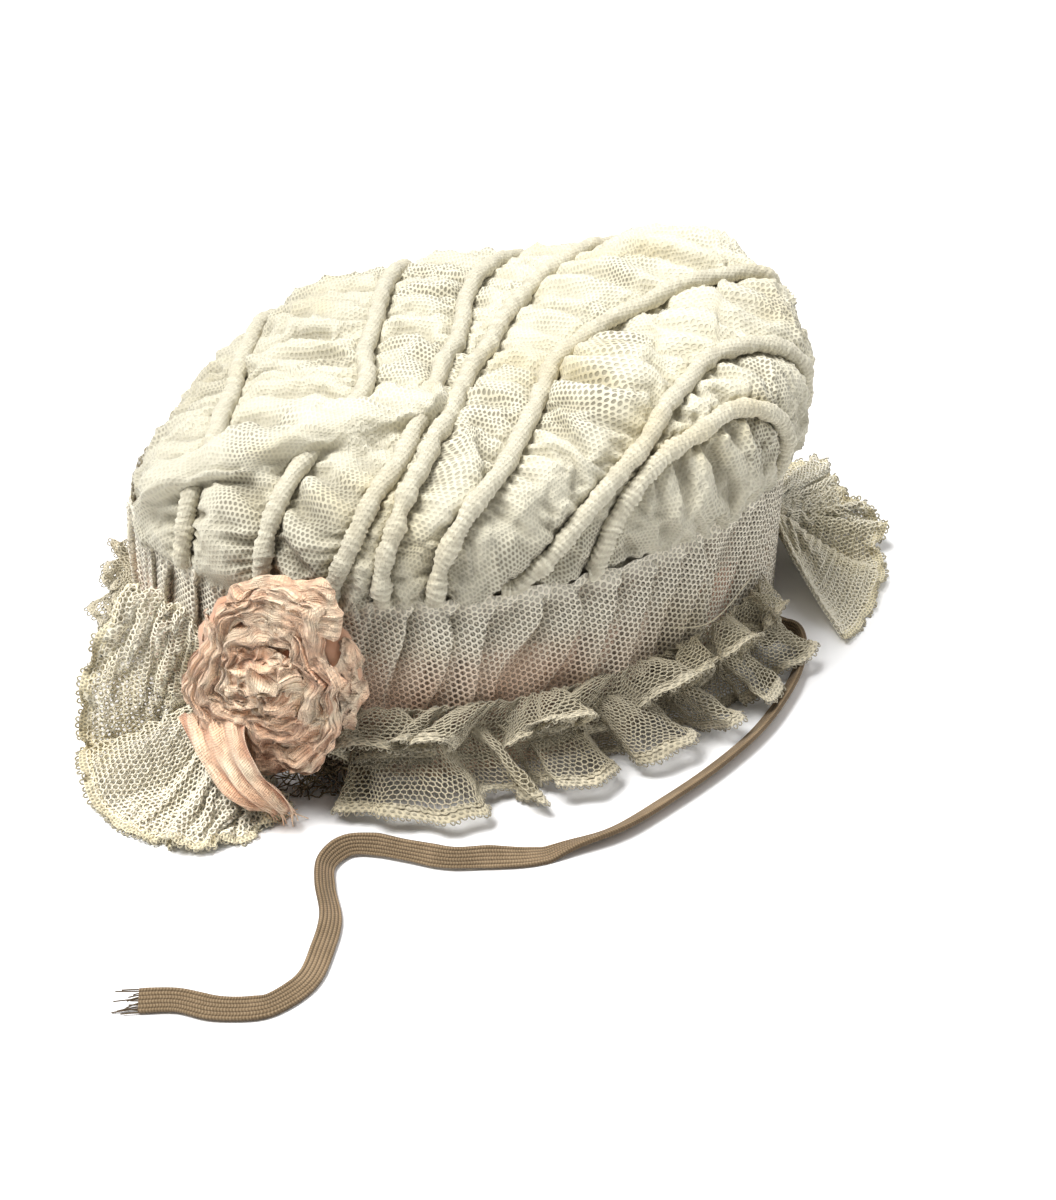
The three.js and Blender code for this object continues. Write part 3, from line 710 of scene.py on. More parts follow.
def thread_tree():
    """Nodes that turn the edges of a net into threads."""
    tree = bpy.data.node_groups.new("net_threads", "GeometryNodeTree")
    face = tree.interface
    face.new_socket("Geometry", in_out="INPUT", socket_type="NodeSocketGeometry")
    radius = face.new_socket("Thread radius", in_out="INPUT", socket_type="NodeSocketFloat")
    finish = face.new_socket("Finish", in_out="INPUT", socket_type="NodeSocketMaterial")
    face.new_socket("Geometry", in_out="OUTPUT", socket_type="NodeSocketGeometry")
    enter = tree.nodes.new("NodeGroupInput")
    leave = tree.nodes.new("NodeGroupOutput")
    lines = tree.nodes.new("GeometryNodeMeshToCurve")
    ring = tree.nodes.new("GeometryNodeCurvePrimitiveCircle")
    ring.inputs["Resolution"].default_value = 3
    skin = tree.nodes.new("GeometryNodeCurveToMesh")
    smooth = tree.nodes.new("GeometryNodeSetShadeSmooth")
    real = tree.nodes.new("GeometryNodeRealizeInstances")
    colour = tree.nodes.new("GeometryNodeSetMaterial")
    link = tree.links.new
    link(enter.outputs["Geometry"], lines.inputs[0])
    link(enter.outputs["Thread radius"], ring.inputs["Radius"])
    link(lines.outputs[0], skin.inputs["Curve"])
    link(ring.outputs[0], skin.inputs["Profile Curve"])
    link(skin.outputs[0], smooth.inputs[0])
    link(smooth.outputs[0], real.inputs[0])
    link(real.outputs[0], colour.inputs["Geometry"])
    link(enter.outputs["Finish"], colour.inputs["Material"])
    link(colour.outputs[0], leave.inputs[0])
    return tree, radius.identifier, finish.identifier


def thread_piece(name, points, joins, radius, finish):
    """Threads of one radius along the joins between points."""
    piece = new_piece(name, points, edges=joins)
    tree, radius_socket, finish_socket = THREADS
    run = piece.modifiers.new("grow", "NODES")
    run.node_group = tree
    run[radius_socket], run[finish_socket] = radius, finish
    ready = bpy.context.evaluated_depsgraph_get()
    made = bpy.data.meshes.new_from_object(piece.evaluated_get(ready), depsgraph=ready)
    piece.modifiers.remove(run)
    old = piece.data
    piece.data = made
    bpy.data.meshes.remove(old)
    return piece


class Strands:
    """Loose lines of points that become one piece of threads."""

    def __init__(self):
        self.points, self.joins = [], []

    def add(self, line):
        first = len(self.points)
        self.points.extend(line)
        self.joins += [(number - 1, number) for number in range(first + 1, len(self.points))]

    def fray(self, start, ahead, reach, bend, count, least):
        """A strand that runs ahead from its start and bends away."""
        share = np.linspace(0, 1, count)[:, None]
        self.add(keep_above(start + ahead * reach * share + bend * share ** 2, least))

    def piece(self, name, radius, finish):
        return thread_piece(name, self.points, self.joins, radius, finish)


def join_into(piece, *others):
    """Joins pieces into the first one."""
    with bpy.context.temp_override(
        active_object=piece, selected_editable_objects=[piece, *others], object=piece
    ):
        bpy.ops.object.join()
    return piece


# Finishes

class Wire:
    """A node's output that arithmetic can be written on."""

    def __init__(self, finish, socket):
        self.finish, self.socket = finish, socket

    def math(self, operation, *others, swap=False):
        values = [self, *others]
        if swap:
            values.reverse()
        return self.finish.out("ShaderNodeMath", {"operation": operation}, values)

    def __add__(self, other):
        return self.math("ADD", other)

    def __radd__(self, other):
        return self.math("ADD", other)

    def __sub__(self, other):
        return self.math("SUBTRACT", other)

    def __rsub__(self, other):
        return self.math("SUBTRACT", other, swap=True)

    def __mul__(self, other):
        return self.math("MULTIPLY", other)

    def __rmul__(self, other):
        return self.math("MULTIPLY", other)

    def __truediv__(self, other):
        return self.math("DIVIDE", other)

    def least(self, other):
        return self.math("MINIMUM", other)

    def step(self, low, high):
        """0 below low, 1 above high, smooth between."""
        settings = {"interpolation_type": "SMOOTHSTEP"}
        values = {"Value": self, "From Min": low, "From Max": high}
        return self.finish.out("ShaderNodeMapRange", settings, values)


class Finish:
    """A material made of nodes."""

    def __init__(self, name):
        self.material = bpy.data.materials.new(name)
        self.material.use_nodes = True
        self.tree = self.material.node_tree
        self.tree.nodes.clear()

    def node(self, kind, settings=None, values=()):
        node = self.tree.nodes.new(kind)
        for name, value in (settings or {}).items():
            setattr(node, name, value)
        pairs = values.items() if isinstance(values, dict) else enumerate(values)
        for place, value in pairs:
            if isinstance(value, Wire):
                self.tree.links.new(value.socket, node.inputs[place])
            else:
                node.inputs[place].default_value = value
        return node

    def out(self, kind, settings=None, values=(), output=0):
        return Wire(self, self.node(kind, settings, values).outputs[output])

    def place(self):
        """The point's place on the object, in metres."""
        return self.out("ShaderNodeTexCoord", output="Object")

    def flat(self):
        """The point's place on the flat cloth, in metres."""
        return self.out("ShaderNodeUVMap", {"uv_map": "flat_cloth"})

    def shade(self, name):
        return self.out("ShaderNodeAttribute", {"attribute_name": name}, output="Fac")

    def noise(self, place, scale, detail=3.0, rough=0.55):
        values = {"Vector": place, "Scale": scale, "Detail": detail, "Roughness": rough}
        return self.out("ShaderNodeTexNoise", {}, values, output="Fac")

    def stretch(self, place, scale, turn=0.0):
        values = {"Vector": place, "Scale": scale, "Rotation": (0, 0, turn)}
        return self.out("ShaderNodeMapping", {"vector_type": "POINT"}, values)

    def parts(self, place):
        node = self.node("ShaderNodeSeparateXYZ", {}, [place])
        return [Wire(self, socket) for socket in node.outputs]

    def mix(self, share, first, second):
        """The first colour, or the second where the share is 1."""
        node = self.node("ShaderNodeMix", {"data_type": "RGBA"})
        for place, value in (("Factor_Float", share), ("A_Color", first), ("B_Color", second)):
            socket = next(s for s in node.inputs if s.identifier == place)
            if isinstance(value, Wire):
                self.tree.links.new(value.socket, socket)
            else:
                socket.default_value = rgba(value)
        result = next(s for s in node.outputs if s.identifier == "Result_Color")
        return Wire(self, result)

    def holes(self, place, pitch, size=0.33, turn=0.0):
        """1 in the holes of a six-sided net, 0 on its threads."""
        x, y, _ = self.parts(self.stretch(place, (1, 1, 1), turn))
        u, v = x / pitch, y / (pitch * math.sqrt(3))
        cells = []
        for offset in (0.0, 0.5):
            across = (u + offset).math("FRACT") - 0.5
            along = ((v + offset).math("FRACT") - 0.5) * math.sqrt(3)
            cells.append(across * across + along * along)
        apart = cells[0].least(cells[1]).math("SQRT")
        return 1 - apart.step(size - 0.07, size + 0.07)

    def close(self, colour, roughness, height=None, depth=0.0002, sheen=0.0, alpha=None):
        values = {"Base Color": colour, "Roughness": roughness}
        if alpha is not None:
            values["Alpha"] = alpha
        if height is not None:
            values["Normal"] = self.out(
                "ShaderNodeBump", {}, {"Height": height, "Distance": depth, "Strength": 1.0}
            )
        shader = self.node("ShaderNodeBsdfPrincipled", {}, values)
        shader.inputs["Sheen Weight"].default_value = sheen
        shader.inputs["Sheen Roughness"].default_value = 0.5
        shader.inputs["Specular IOR Level"].default_value = 0.3
        self.node("ShaderNodeOutputMaterial", {}, {"Surface": Wire(self, shader.outputs[0])})
        return self.material


def rgba(colour):
    if isinstance(colour, Wire) or not hasattr(colour, "__len__"):
        return colour
    return (*colour, 1.0) if len(colour) == 3 else colour


def stained(finish, place, clean, yellow, grey):
    """The cloth's own colour with soft yellow stains and a grey cast of dust."""
    stains = finish.noise(place, 34.0).step(0.50, 0.74)
    dust = finish.noise(place, 19.0).step(0.42, 0.80)
    return finish.mix(dust * 0.55, finish.mix(stains * 0.75, clean, yellow), grey)


def crown_net_finish():
    made = Finish("crown_net")
    flat, place = made.flat(), made.place()
    holes = made.holes(flat, CROWN_MESH, 0.30, 0.45)
    open_net = made.noise(flat, 34.0, 2.0).step(0.46, 0.62)
    # painted shade: the net's holes darkened as the shaded inside seen through them, more where the net
    # is open
    shade = holes * (0.14 + 0.66 * open_net)
    _, _, up = made.parts(place)
    # painted shade: low marks the crown's foot, which is painted darker
    low = 1 - up.step(0.046, 0.084)
    cloth = stained(made, place, (0.82, 0.78, 0.635), (0.72, 0.64, 0.42), (0.65, 0.62, 0.52))
    cloth = made.mix(low * 0.68, cloth, (0.48, 0.45, 0.365))
    # painted shade in the crown's hollows and creases, heavier towards its foot
    cloth = made.mix(made.shade("hollow_shade") * (0.30 + low * 0.45), cloth, (0.36, 0.33, 0.25))
    colour = made.mix(shade, cloth, (0.26, 0.235, 0.175))
    fine = made.noise(flat, 2600.0, 2.0)
    height = (1 - holes) * 0.8 + fine * 0.5
    return made.close(colour, 0.92, height, 0.0002, 0.2)


def cord_finish():
    made = Finish("cord_casing")
    flat, place = made.flat(), made.place()
    holes = made.holes(flat, CORD_MESH, 0.30, 0.2)
    cloth = stained(made, place, (0.82, 0.78, 0.635), (0.74, 0.66, 0.46), (0.68, 0.65, 0.54))
    _, _, up = made.parts(place)
    # painted shade: the cords darker towards the crown's foot
    cloth = made.mix((1 - up.step(0.046, 0.084)) * 0.35, cloth, (0.54, 0.51, 0.42))
    # painted shade in the grooves between the casing's gathers
    cloth = made.mix(made.shade("hollow_shade") * 0.62, cloth, (0.42, 0.38, 0.29))
    # painted shade: the casing's holes darkened as the shade seen through them
    colour = made.mix(holes * 0.16, cloth, (0.42, 0.38, 0.30))
    height = (1 - holes) * 0.6 + made.noise(flat, 2200.0, 2.0) * 0.6
    return made.close(colour, 0.92, height, 0.0002, 0.2)


def thread_finish(name, clean, yellow, grey):
    made = Finish(name)
    place = made.place()
    colour = stained(made, place, clean, yellow, grey)
    twist = made.noise(place, 2400.0, 2.0)
    colour = made.mix(twist * 0.35, colour, grey)
    return made.close(colour, 0.95, twist, 0.0001, 0.2)


def hem_finish(name, clean, yellow, grey):
    """A firm woven edge with rows of small holes."""
    made = Finish(name)
    flat, place = made.flat(), made.place()
    u, v, _ = made.parts(flat)
    holes = made.holes(flat, HEM_MESH, 0.27, 0.0)
    threads = (u * 9000.0).math("SINE") * 0.5 + 0.5
    colour = stained(made, place, clean, yellow, grey)
    # painted shade: the hem's holes darkened as the shade seen through them
    colour = made.mix(holes * 0.60, colour, (0.22, 0.20, 0.15))
    colour = made.mix(threads * 0.18, colour, grey)
    height = threads * 0.5 + (1 - holes) * 0.8 + made.noise(flat, 1500.0, 2.0) * 0.6
    return made.close(colour, 0.95, height, 0.0002, 0.2)


def under_net_finish():
    """Fine net seen through the lace that lies over it."""
    made = Finish("under_net")
    flat, place = made.flat(), made.place()
    holes = made.holes(flat, UNDER_MESH, 0.34, 0.3)
    colour = stained(made, place, (0.95, 0.91, 0.77), (0.84, 0.76, 0.55), (0.76, 0.72, 0.60))
    # painted shade: the holes darkened as the shade seen through them, on top of their partial
    # see-through
    colour = made.mix(holes * 0.30, colour, (0.48, 0.44, 0.35))
    return made.close(colour, 0.95, 1 - holes, 0.0002, 0.2, 1 - holes * 0.55)


def band_net_finish():
    """Open net of six-sided meshes, its threads catching the light."""
    made = Finish("band_net")
    flat, place = made.flat(), made.place()
    holes = made.holes(flat, BAND_MESH, 0.335, 0.15)
    colour = stained(made, place, (0.93, 0.88, 0.745), (0.80, 0.71, 0.51), (0.72, 0.665, 0.55))
    # painted shade in the recessed parts of the pleats
    colour = made.mix(made.shade("hollow_shade") * 0.85, colour, (0.28, 0.24, 0.17))
    colour = made.mix(made.noise(flat, 1800.0, 2.0) * 0.3, colour, (0.50, 0.46, 0.38))
    x, y, up = made.parts(place)
    # painted shade: the band darker towards its +y side, where the crown's overhang shades it
    colour = made.mix(y.step(-0.050, 0.005) * 0.30, colour, (0.46, 0.41, 0.32))
    # painted light: a peach tint on the net's lower left, standing in for the lit pink lining seen
    # through it
    lit_lining_tint = made.noise(place, 28.0, 2.0).step(0.34, 0.60) * (1 - up.step(0.020, 0.038))
    colour = made.mix(lit_lining_tint * (1 - y.step(-0.035, 0.020)) * 0.60, colour, (0.86, 0.56, 0.40))
    edge = made.shade("edge")
    colour = made.mix(edge * 0.55, colour, (0.92, 0.87, 0.74))
    alpha = 1 - holes * (0.90 - edge * 0.55)
    return made.close(colour, 0.95, 1 - holes, 0.0003, 0.2, alpha)


def lining_finish():
    made = Finish("pink_lining")
    place = made.place()
    x, y, z = made.parts(place)
    weave = (x * 5200.0 + y * 5200.0).math("SINE") * (z * 7400.0).math("SINE")
    faded = made.noise(place, 26.0, 4.0).step(0.36, 0.66)
    colour = made.mix(faded, (0.92, 0.62, 0.47), (0.90, 0.77, 0.63))
    dust = made.noise(place, 60.0, 4.0).step(0.5, 0.8)
    colour = made.mix(dust * 0.35, colour, (0.62, 0.56, 0.48))
    colour = made.mix(weave * 0.08 + 0.08, colour, (0.62, 0.40, 0.32))
    return made.close(colour, 0.9, weave, 0.00008, 0.15)


def silk_finish():
    made = Finish("pink_silk")
    flat, place = made.flat(), made.place()
    u, v, _ = made.parts(flat)
    ribs = (u * 12500.0).math("SINE") * 0.5 + 0.5
    threads = (v * 21000.0).math("SINE") * 0.5 + 0.5
    faded = made.noise(place, 120.0, 4.0).step(0.36, 0.70)
    colour = made.mix(faded, (0.98, 0.66, 0.45), (0.99, 0.84, 0.63))
    # painted shade in the ribbon's creases
    crease_shade = made.shade("hollow_shade").step(0.28, 0.92)
    colour = made.mix(crease_shade * 0.78, colour, (0.50, 0.22, 0.12))
    streak = made.noise(made.stretch(flat, (260.0, 3000.0, 1.0)), 1.0, 3.0).step(0.42, 0.72)
    colour = made.mix(streak * 0.26, colour, (0.66, 0.40, 0.24))
    rust = made.noise(place, 300.0, 3.0).step(0.60, 0.80)
    colour = made.mix(rust * 0.22, colour, (0.55, 0.32, 0.19))
    colour = made.mix(ribs * 0.12, colour, (0.88, 0.68, 0.57))
    crush = made.noise(flat, 900.0, 3.0)
    height = ribs * 0.4 + threads * 0.25 + crush * 1.2 + streak * -1.6
    return made.close(colour, 0.50, height, 0.00025, 0.3)


def elastic_finish():
    made = Finish("tan_elastic")
    flat = made.flat()
    u, v, _ = made.parts(flat)
    ribs = (v * 3770.0).math("SINE").math("ABSOLUTE")
    groove = 1 - ribs.step(0.0, 0.55)
    shift = (v * 3770.0).math("SINE") * 1.5
    cross = (u * 10500.0 + shift).math("SINE") * 0.5 + 0.5
    speck = made.noise(flat, 1500.0, 2.0)
    worn = made.noise(flat, 90.0, 3.0).step(0.40, 0.70)
    colour = made.mix(worn, (0.20, 0.14, 0.08), (0.31, 0.225, 0.14))
    colour = made.mix(cross * speck * 0.9, colour, (0.50, 0.39, 0.265))
    # painted shade: near-black in the grooves between the ribs
    colour = made.mix(groove * 0.75, colour, (0.10, 0.07, 0.04))
    return made.close(colour, 0.85, ribs * 1.2 + cross * 0.5 + speck * 0.5, 0.00016, 0.1)


def floor_finish():
    made = Finish("pale_table")
    grain = made.noise(made.place(), 300.0)
    colour = made.mix(grain * 0.1, (0.97, 0.97, 0.975), (0.95, 0.95, 0.955))
    return made.close(colour, 0.7)


# Pieces

def wear(piece, slot, *nodes):
    """Gives a piece its place on the hat and hides the solids it stands for. slot is not used."""
    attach(piece, "root")
    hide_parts(*nodes)
    return piece


def from_middle(azimuth, elevation):
    """The way out from the hat's middle, for two angles in degrees."""
    a, e = math.radians(azimuth), math.radians(elevation)
    return Vector((math.sin(a) * math.cos(e), -math.cos(a) * math.cos(e), math.sin(e)))


def make_camera():
    """The photo's camera: the target stands at its pixel, whatever the photo's middle shows."""
    azimuth = math.radians(CAMERA["azimuth"])
    back = from_middle(CAMERA["azimuth"], CAMERA["elevation"])
    right = Vector((math.cos(azimuth), math.sin(azimuth), 0))
    up = back.cross(right)
    focal = CAMERA["lens"] / SENSOR * PHOTO_HEIGHT
    off_x = (TARGET_PIXEL[0] - PHOTO_WIDTH / 2) / focal
    off_y = (PHOTO_HEIGHT / 2 - TARGET_PIXEL[1]) / focal
    yaw = math.atan2(off_x, 1)
    pitch = math.atan2(off_y, math.hypot(1, off_x))
    turn = Matrix((right, up, back)).transposed()
    turn = turn @ Matrix.Rotation(yaw, 3, "Y") @ Matrix.Rotation(-pitch, 3, "X")
    data = bpy.data.cameras.new("camera")
    data.lens = CAMERA["lens"]
    data.sensor_width = SENSOR
    camera = new_object("camera", data)
    target = Vector(CAMERA_TARGET) + Vector(SHIFT)
    place = (target + back * CAMERA["distance"]) / 1000
    camera.matrix_world = Matrix.Translation(place) @ turn.to_4x4()
    bpy.context.scene.camera = camera


def sun_light(name, azimuth, elevation, power, spread):
    data = bpy.data.lights.new(name, "SUN")
    data.energy = power
    data.angle = math.radians(spread)
    light = new_object(name, data)
    light.rotation_mode = "QUATERNION"
    light.rotation_quaternion = (-from_middle(azimuth, elevation)).to_track_quat("-Z", "Y")


def make_light():
    world = bpy.data.worlds.new("studio")
    world.use_nodes = True
    sky = world.node_tree.nodes["Background"]
    sky.inputs["Color"].default_value = (1.0, 1.0, 1.0, 1)
    sky.inputs["Strength"].default_value = 0.24
    bpy.context.scene.world = world
    sun_light("key", -22, 66, 3.5, 30)
    sun_light("fill", 160, 50, 0.8, 60)
    settings = bpy.context.scene.view_settings
    settings.view_transform = "Standard"
    settings.look = "None"
    settings.exposure = 0.22
    settings.gamma = 0.86


def make_floor():
    mesh = bpy.data.meshes.new("table_top")
    mesh.from_pydata([(-3, -3, 0), (3, -3, 0), (3, 3, 0), (-3, 3, 0)], [], [(0, 1, 2, 3)])
    mesh.materials.append(floor_finish())
    new_object("table_top", mesh)


def make_tie(finish):
    """The flat elastic along its route, turned up on its edge where the photo shows it so."""
    share = np.linspace(0, 1, TIE_STEPS)
    line = between(TIE_ROUTE * BAND_LONG, share)
    tilt = np.radians(between(TIE_TILT, share))
    line[:, 2] = np.maximum(line[:, 2] - 0.6, 0.55 + TIE_WIDTH / 2 * np.abs(np.sin(tilt)))
    angle = np.linspace(0, 2 * np.pi, TIE_SIDES, endpoint=False)
    square = np.sign(np.cos(angle)) * np.abs(np.cos(angle)) ** 0.75
    place = square * TIE_WIDTH / 2
    groove = np.abs(np.sin((square + 1) / 2 * np.pi * TIE_RIBS))
    face = np.sign(np.sin(angle)) * np.minimum(1, np.abs(np.sin(angle)) * 2.2) ** 0.5
    thick = (0.42 + 0.16 * groove) * face
    tangent = unit(np.gradient(line, axis=0))
    side = unit(np.cross(tangent, (0, 0, 1.0)))
    over = np.cross(side, tangent)
    cosine, sine = np.cos(tilt)[:, None], np.sin(tilt)[:, None]
    turned, over = side * cosine + over * sine, over * cosine - side * sine
    width = 1 - 0.05 * np.abs(ripple(share[:, None] * 240, 30.0, 3))
    points = line[:, None] + turned[:, None] * (place * width[:, None])[..., None]
    points += over[:, None] * thick[None, :, None]
    keep_above(points, 0.05)
    run = way_along(line)
    flat = stacked(run[:, None], (place + TIE_WIDTH / 2)[None, :])
    # painted shade for the grooves between the ribs, as a point attribute
    hollow_shade = np.broadcast_to((1 - groove)[None, :], points.shape[:2]) ** 3
    tie = new_piece("elastic_tie", points, tube_faces(TIE_STEPS, TIE_SIDES), flat, finish=finish,
                    shades={"hollow_shade": hollow_shade})
    chance = np.random.default_rng(8)
    strands = Strands()
    ahead = unit(line[-1] - line[-6])
    for place_across in np.linspace(-2.3, 2.3, 13):
        start = line[-1] + turned[-1] * place_across - ahead
        reach = 1.0 + chance.uniform(1.5, 4.5)
        strands.fray(start, ahead, reach, chance.normal(size=3) * 0.5, 5, 0.3)
    fray = strands.piece("tie_fray", FRAY_THREAD, finish)
    wear(tie, "tan_elastic", "tie")
    wear(fray, "tan_elastic", "tie")
    tuple((line[0] + SHIFT) / 1000)
    ((line[::4] + SHIFT) / 1000).tolist()


def make_crown(finish):
    points, flat, hollow_shade = crown_surface()
    rows, columns = points.shape[:2]
    crown = new_piece("crown_net", points, grid_faces(rows, columns), flat, finish=finish,
                      shades={"hollow_shade": hollow_shade})
    wear(crown, "crown_net", "crown")


def make_cords(finish):
    """The covered cords, their casing gathered, most of all near the band."""
    angle = np.linspace(0, 2 * np.pi, CORD_SIDES, endpoint=False)
    for number, cord in enumerate(CORDS, 1):
        line = between(cord_line(cord, 90), np.linspace(0, 1, CORD_STEPS))
        line += 0.35 * shaken(line, 22.0, 60 + number)
        keep_above(line, BAND_HEIGHT + CORD_WIDTH / 2 + 0.2)
        way = way_along(line)
        run = way[:, None]
        places = stacked(run, 2.2 * np.cos(angle)[None], 2.2 * np.sin(angle)[None])
        phase = run * 2 * np.pi / CORD_GATHER + 2.0 * ripple(places, 7.0, 30 + number)
        drawn = smoothstep(32, 8, run) + smoothstep(way[-1] - 30, way[-1] - 6, run)
        rib = (0.5 + 0.5 * np.sin(phase)) * (0.6 + 0.4 * ripple(places, 3.0, 40 + number))
        rib = 0.5 + (rib - 0.5) * (0.75 + 0.25 * drawn)
        swell = ripple(run, 9.0, 50 + number)[:, None]
        radius = CORD_WIDTH / 2 - 0.36 + 0.52 * rib + 0.20 * swell
        radius += 0.07 * ripple(places, 1.8, 58 + number)
        # the piece carries painted shade for the grooves between its gathers
        piece = new_piece(
            f"covered_cord_{number}", sweep(line, radius, CORD_SIDES),
            tube_faces(CORD_STEPS, CORD_SIDES), stacked(run, (angle * 2.2)[None]), finish=finish,
            shades={"hollow_shade": np.clip(1 - rib, 0, 1) ** 2}, girth=4.4 * np.pi,
        )
        wear(piece, "piping_net", f"piping_cord_{number}")


def band_pleats(share, up):
    """The angle and stand-off of the pleated net at a share of its length, and its phase."""
    turn = share * 2 * np.pi
    ring = stacked(np.cos(turn) * BAND_SIDE, np.sin(turn) * BAND_LONG)
    hang = BAND_HEIGHT - up
    slant = 0.30 + 0.20 * np.sin(turn) + 0.05 * ripple(ring, 60.0, 71)
    phase = PLEATS * turn + 1.7 * ripple(ring, 34.0, 70) + slant * hang
    phase += 0.5 * ripple(stacked(ring[..., 0], ring[..., 1], up), 20.0, 73)
    strength = np.clip(0.85 + 0.6 * ripple(ring, 26.0, 72), 0.2, 1.5) * smoothstep(-3, 8, hang)
    angle = turn + strength * 2.1 / PLEATS * np.sin(phase)
    heading = np.exp(-((hang - 0.6) / 2.2) ** 2)
    crinkle = ripple(stacked(ring[..., 0], ring[..., 1], 0.5 * up), 3.0, 75)
    out = -0.35 + 1.35 * strength * np.cos(phase - 1.3) + heading * (0.1 + 0.7 * crinkle)
    return angle + 0.008 * crinkle * heading, out, phase


def pleated_net(name, finish, low, high, behind, rows):
    """A depth of the band's net, its meshes evenly spread along the pleats."""
    share, up = np.meshgrid(np.linspace(0.5, 1.5, NET_COLUMNS, endpoint=False),
                            np.linspace(low, high, rows))
    angle, out, phase = band_pleats(share, up)
    points = band_point(angle, out - behind, up)
    at_top = smoothstep(BAND_HEIGHT - 3, BAND_HEIGHT + 1, up)
    points[..., 2] += 0.7 * ripple(points, 6.0, 76) * at_top
    table = np.linspace(0, 4 * np.pi, 2000)
    way = way_along(band_point(table, 0.0, 0.0))
    wall = np.interp(angle, table, way)
    # painted shade: darker where the pleats lie deepest
    hollow_shade = np.clip(0.30 - 0.75 * (out + 0.35), 0, 1)
    edge = np.exp(-((np.mod(phase - 2.1 + np.pi, 2 * np.pi) - np.pi) / 0.32) ** 2)
    edge = np.maximum(edge * np.clip(out + 1.0, 0, 1), smoothstep(BAND_HEIGHT - 3, BAND_HEIGHT, up))
    flat = stacked(up + 1.6 * behind, wall + PLEAT_RUN * phase / (2 * np.pi) + 0.9 * behind)
    piece = new_piece(name, points, grid_faces(rows, NET_COLUMNS, ring=True), flat, finish=finish,
                      shades={"hollow_shade": hollow_shade, "edge": edge}, girth=way[-1] / 2 + PLEAT_RUN * PLEATS)
    wear(piece, "band_net", "band_net")


def make_band(net, lining):
    """The lining, a thin wall, under the pleated net and the net's turned-in top."""
    columns, rows = 280, 10
    angle, up = np.meshgrid(np.linspace(0, 2 * np.pi, columns, endpoint=False),
                            np.linspace(0, BAND_HEIGHT - 0.3, rows))
    soft = 0.22 * ripple(band_point(angle, 0.0, up), 16.0, 80) * smoothstep(0, 6, up)
    outer = band_point(angle, -1.9 + soft, up)
    inner = band_point(angle, -2.8 + soft, up)
    number = np.arange(columns * 2 * rows).reshape(2 * rows, columns)
    foot = np.stack([number[-1], number[0], np.roll(number[0], -1), np.roll(number[-1], -1)], -1)
    faces = np.concatenate([grid_faces(2 * rows, columns, ring=True), foot])[:, ::-1]
    piece = new_piece("pink_lining", np.concatenate([outer, inner[::-1]]), faces, finish=lining)
    wear(piece, "pink_cotton", "band_lining")
    pleated_net("band_mesh", net, 0.8, BAND_HEIGHT + NET_HEADING, 0.0, 26)
    pleated_net("band_turning", net, BAND_HEIGHT - NET_TURNING, BAND_HEIGHT + 1.6, 0.45, 9)


def make_threads(cream, dark):
    """One loose thread over the band, and the dark frayed edge under the rosette, which also stands in as
    painted shade there.
    """
    share = np.linspace(0, 1, 26)
    loose, fray = Strands(), Strands()
    loose.add(band_point(
        np.radians(between((6, 11, 15, 20, 24), share)),
        between((2.0, 5.5, 6.5, 7.0, 5.5), share),
        between((27.0, 26.0, 27.5, 31.5, 30.5), share),
    ))
    wear(loose.piece("loose_thread", LACE_THREAD, cream), "band_net", "band_net")
    # the frayed edge's dark threads: partly real frayed cloth, partly painted shade under the rosette
    chance = np.random.default_rng(77)
    for _ in range(230):
        turn = np.array(math.radians(chance.uniform(303, 316)))
        line = [band_point(turn, chance.uniform(0.5, 8.0), chance.uniform(0.5, 12.0))]
        way = chance.normal(size=3)
        for _ in range(7):
            way = way + 0.8 * chance.normal(size=3)
            line.append(keep_above(line[-1] + 1.1 * way / np.linalg.norm(way), 0.3))
        fray.add(line[:-1])
    wear(fray.piece("frayed_edge_and_shade", DARK_THREAD, dark), "pink_cotton", "band_lining")


def frill_surface(strip, seed):
    """A frill finely gathered at its seam, whose hem swings to and fro in loops."""
    name, first, last, seam, hem, drop, fullness, wave, bend, outward, upward, _ = strip
    start, end = math.radians(first), math.radians(last)
    arc = way_along(band_point(np.linspace(start, end, 400), 0.0, 0.0))[-1]
    fabric = arc * fullness
    rows, columns = int(fabric / 0.6), int(drop / 0.8) + 1
    share = np.linspace(0, 1, rows)
    down = np.linspace(0, 1, columns)[None, :]
    places = share[:, None] * arc
    theta = places[:, 0] / wave * 2 * np.pi + 1.5 * ripple(places, 30.0, seed)
    sway = np.clip(1 + 0.22 * ripple(places, 24.0, seed + 1), 0.5, 1.35)
    heading = bend * sway * np.sin(theta) + 0.6 * ripple(places, 5.0, seed + 2)
    ahead = np.cumsum(np.cos(heading))
    ahead = (ahead - ahead[0]) / (ahead[-1] - ahead[0])
    swing = np.cumsum(np.sin(heading)) * fabric / rows
    window = int(rows * wave / arc)
    middle = np.convolve(np.pad(swing, window, mode="reflect"), np.ones(window) / window, "same")
    swing = swing - middle[window:-window]
    ahead, swing, share = ahead[:, None], swing[:, None], share[:, None]
    loose = down ** 0.75
    reach = FRILL_REACH * between(REACHES[name], share)
    turn = start + (end - start) * (share * (1 - loose) + ahead * loose)
    pucker = places * 2 * np.pi / 2.7 + 1.5 * ripple(places, 12.0, seed + 3)[:, None]
    gathers = (1 - down) * np.sin(pucker)
    out = 1.6 + (reach - 1.6) * down + outward * swing * loose + 0.55 * gathers
    roll = smoothstep(0.78, 1.0, down) * (1.3 + 1.2 * ripple(places, 14.0, seed + 4)[:, None])
    up = seam - (seam - hem) * down ** 1.3 + upward * swing * loose + roll
    sag = np.maximum(0.6 - up, 0)
    grid = band_point(turn, np.maximum(out, 0.9) + 0.6 * sag, np.maximum(up, 0.6))
    grid += 0.45 * shaken(grid, 9.0, seed + 5) * down[..., None]
    return keep_above(grid, 0.5), fabric, drop


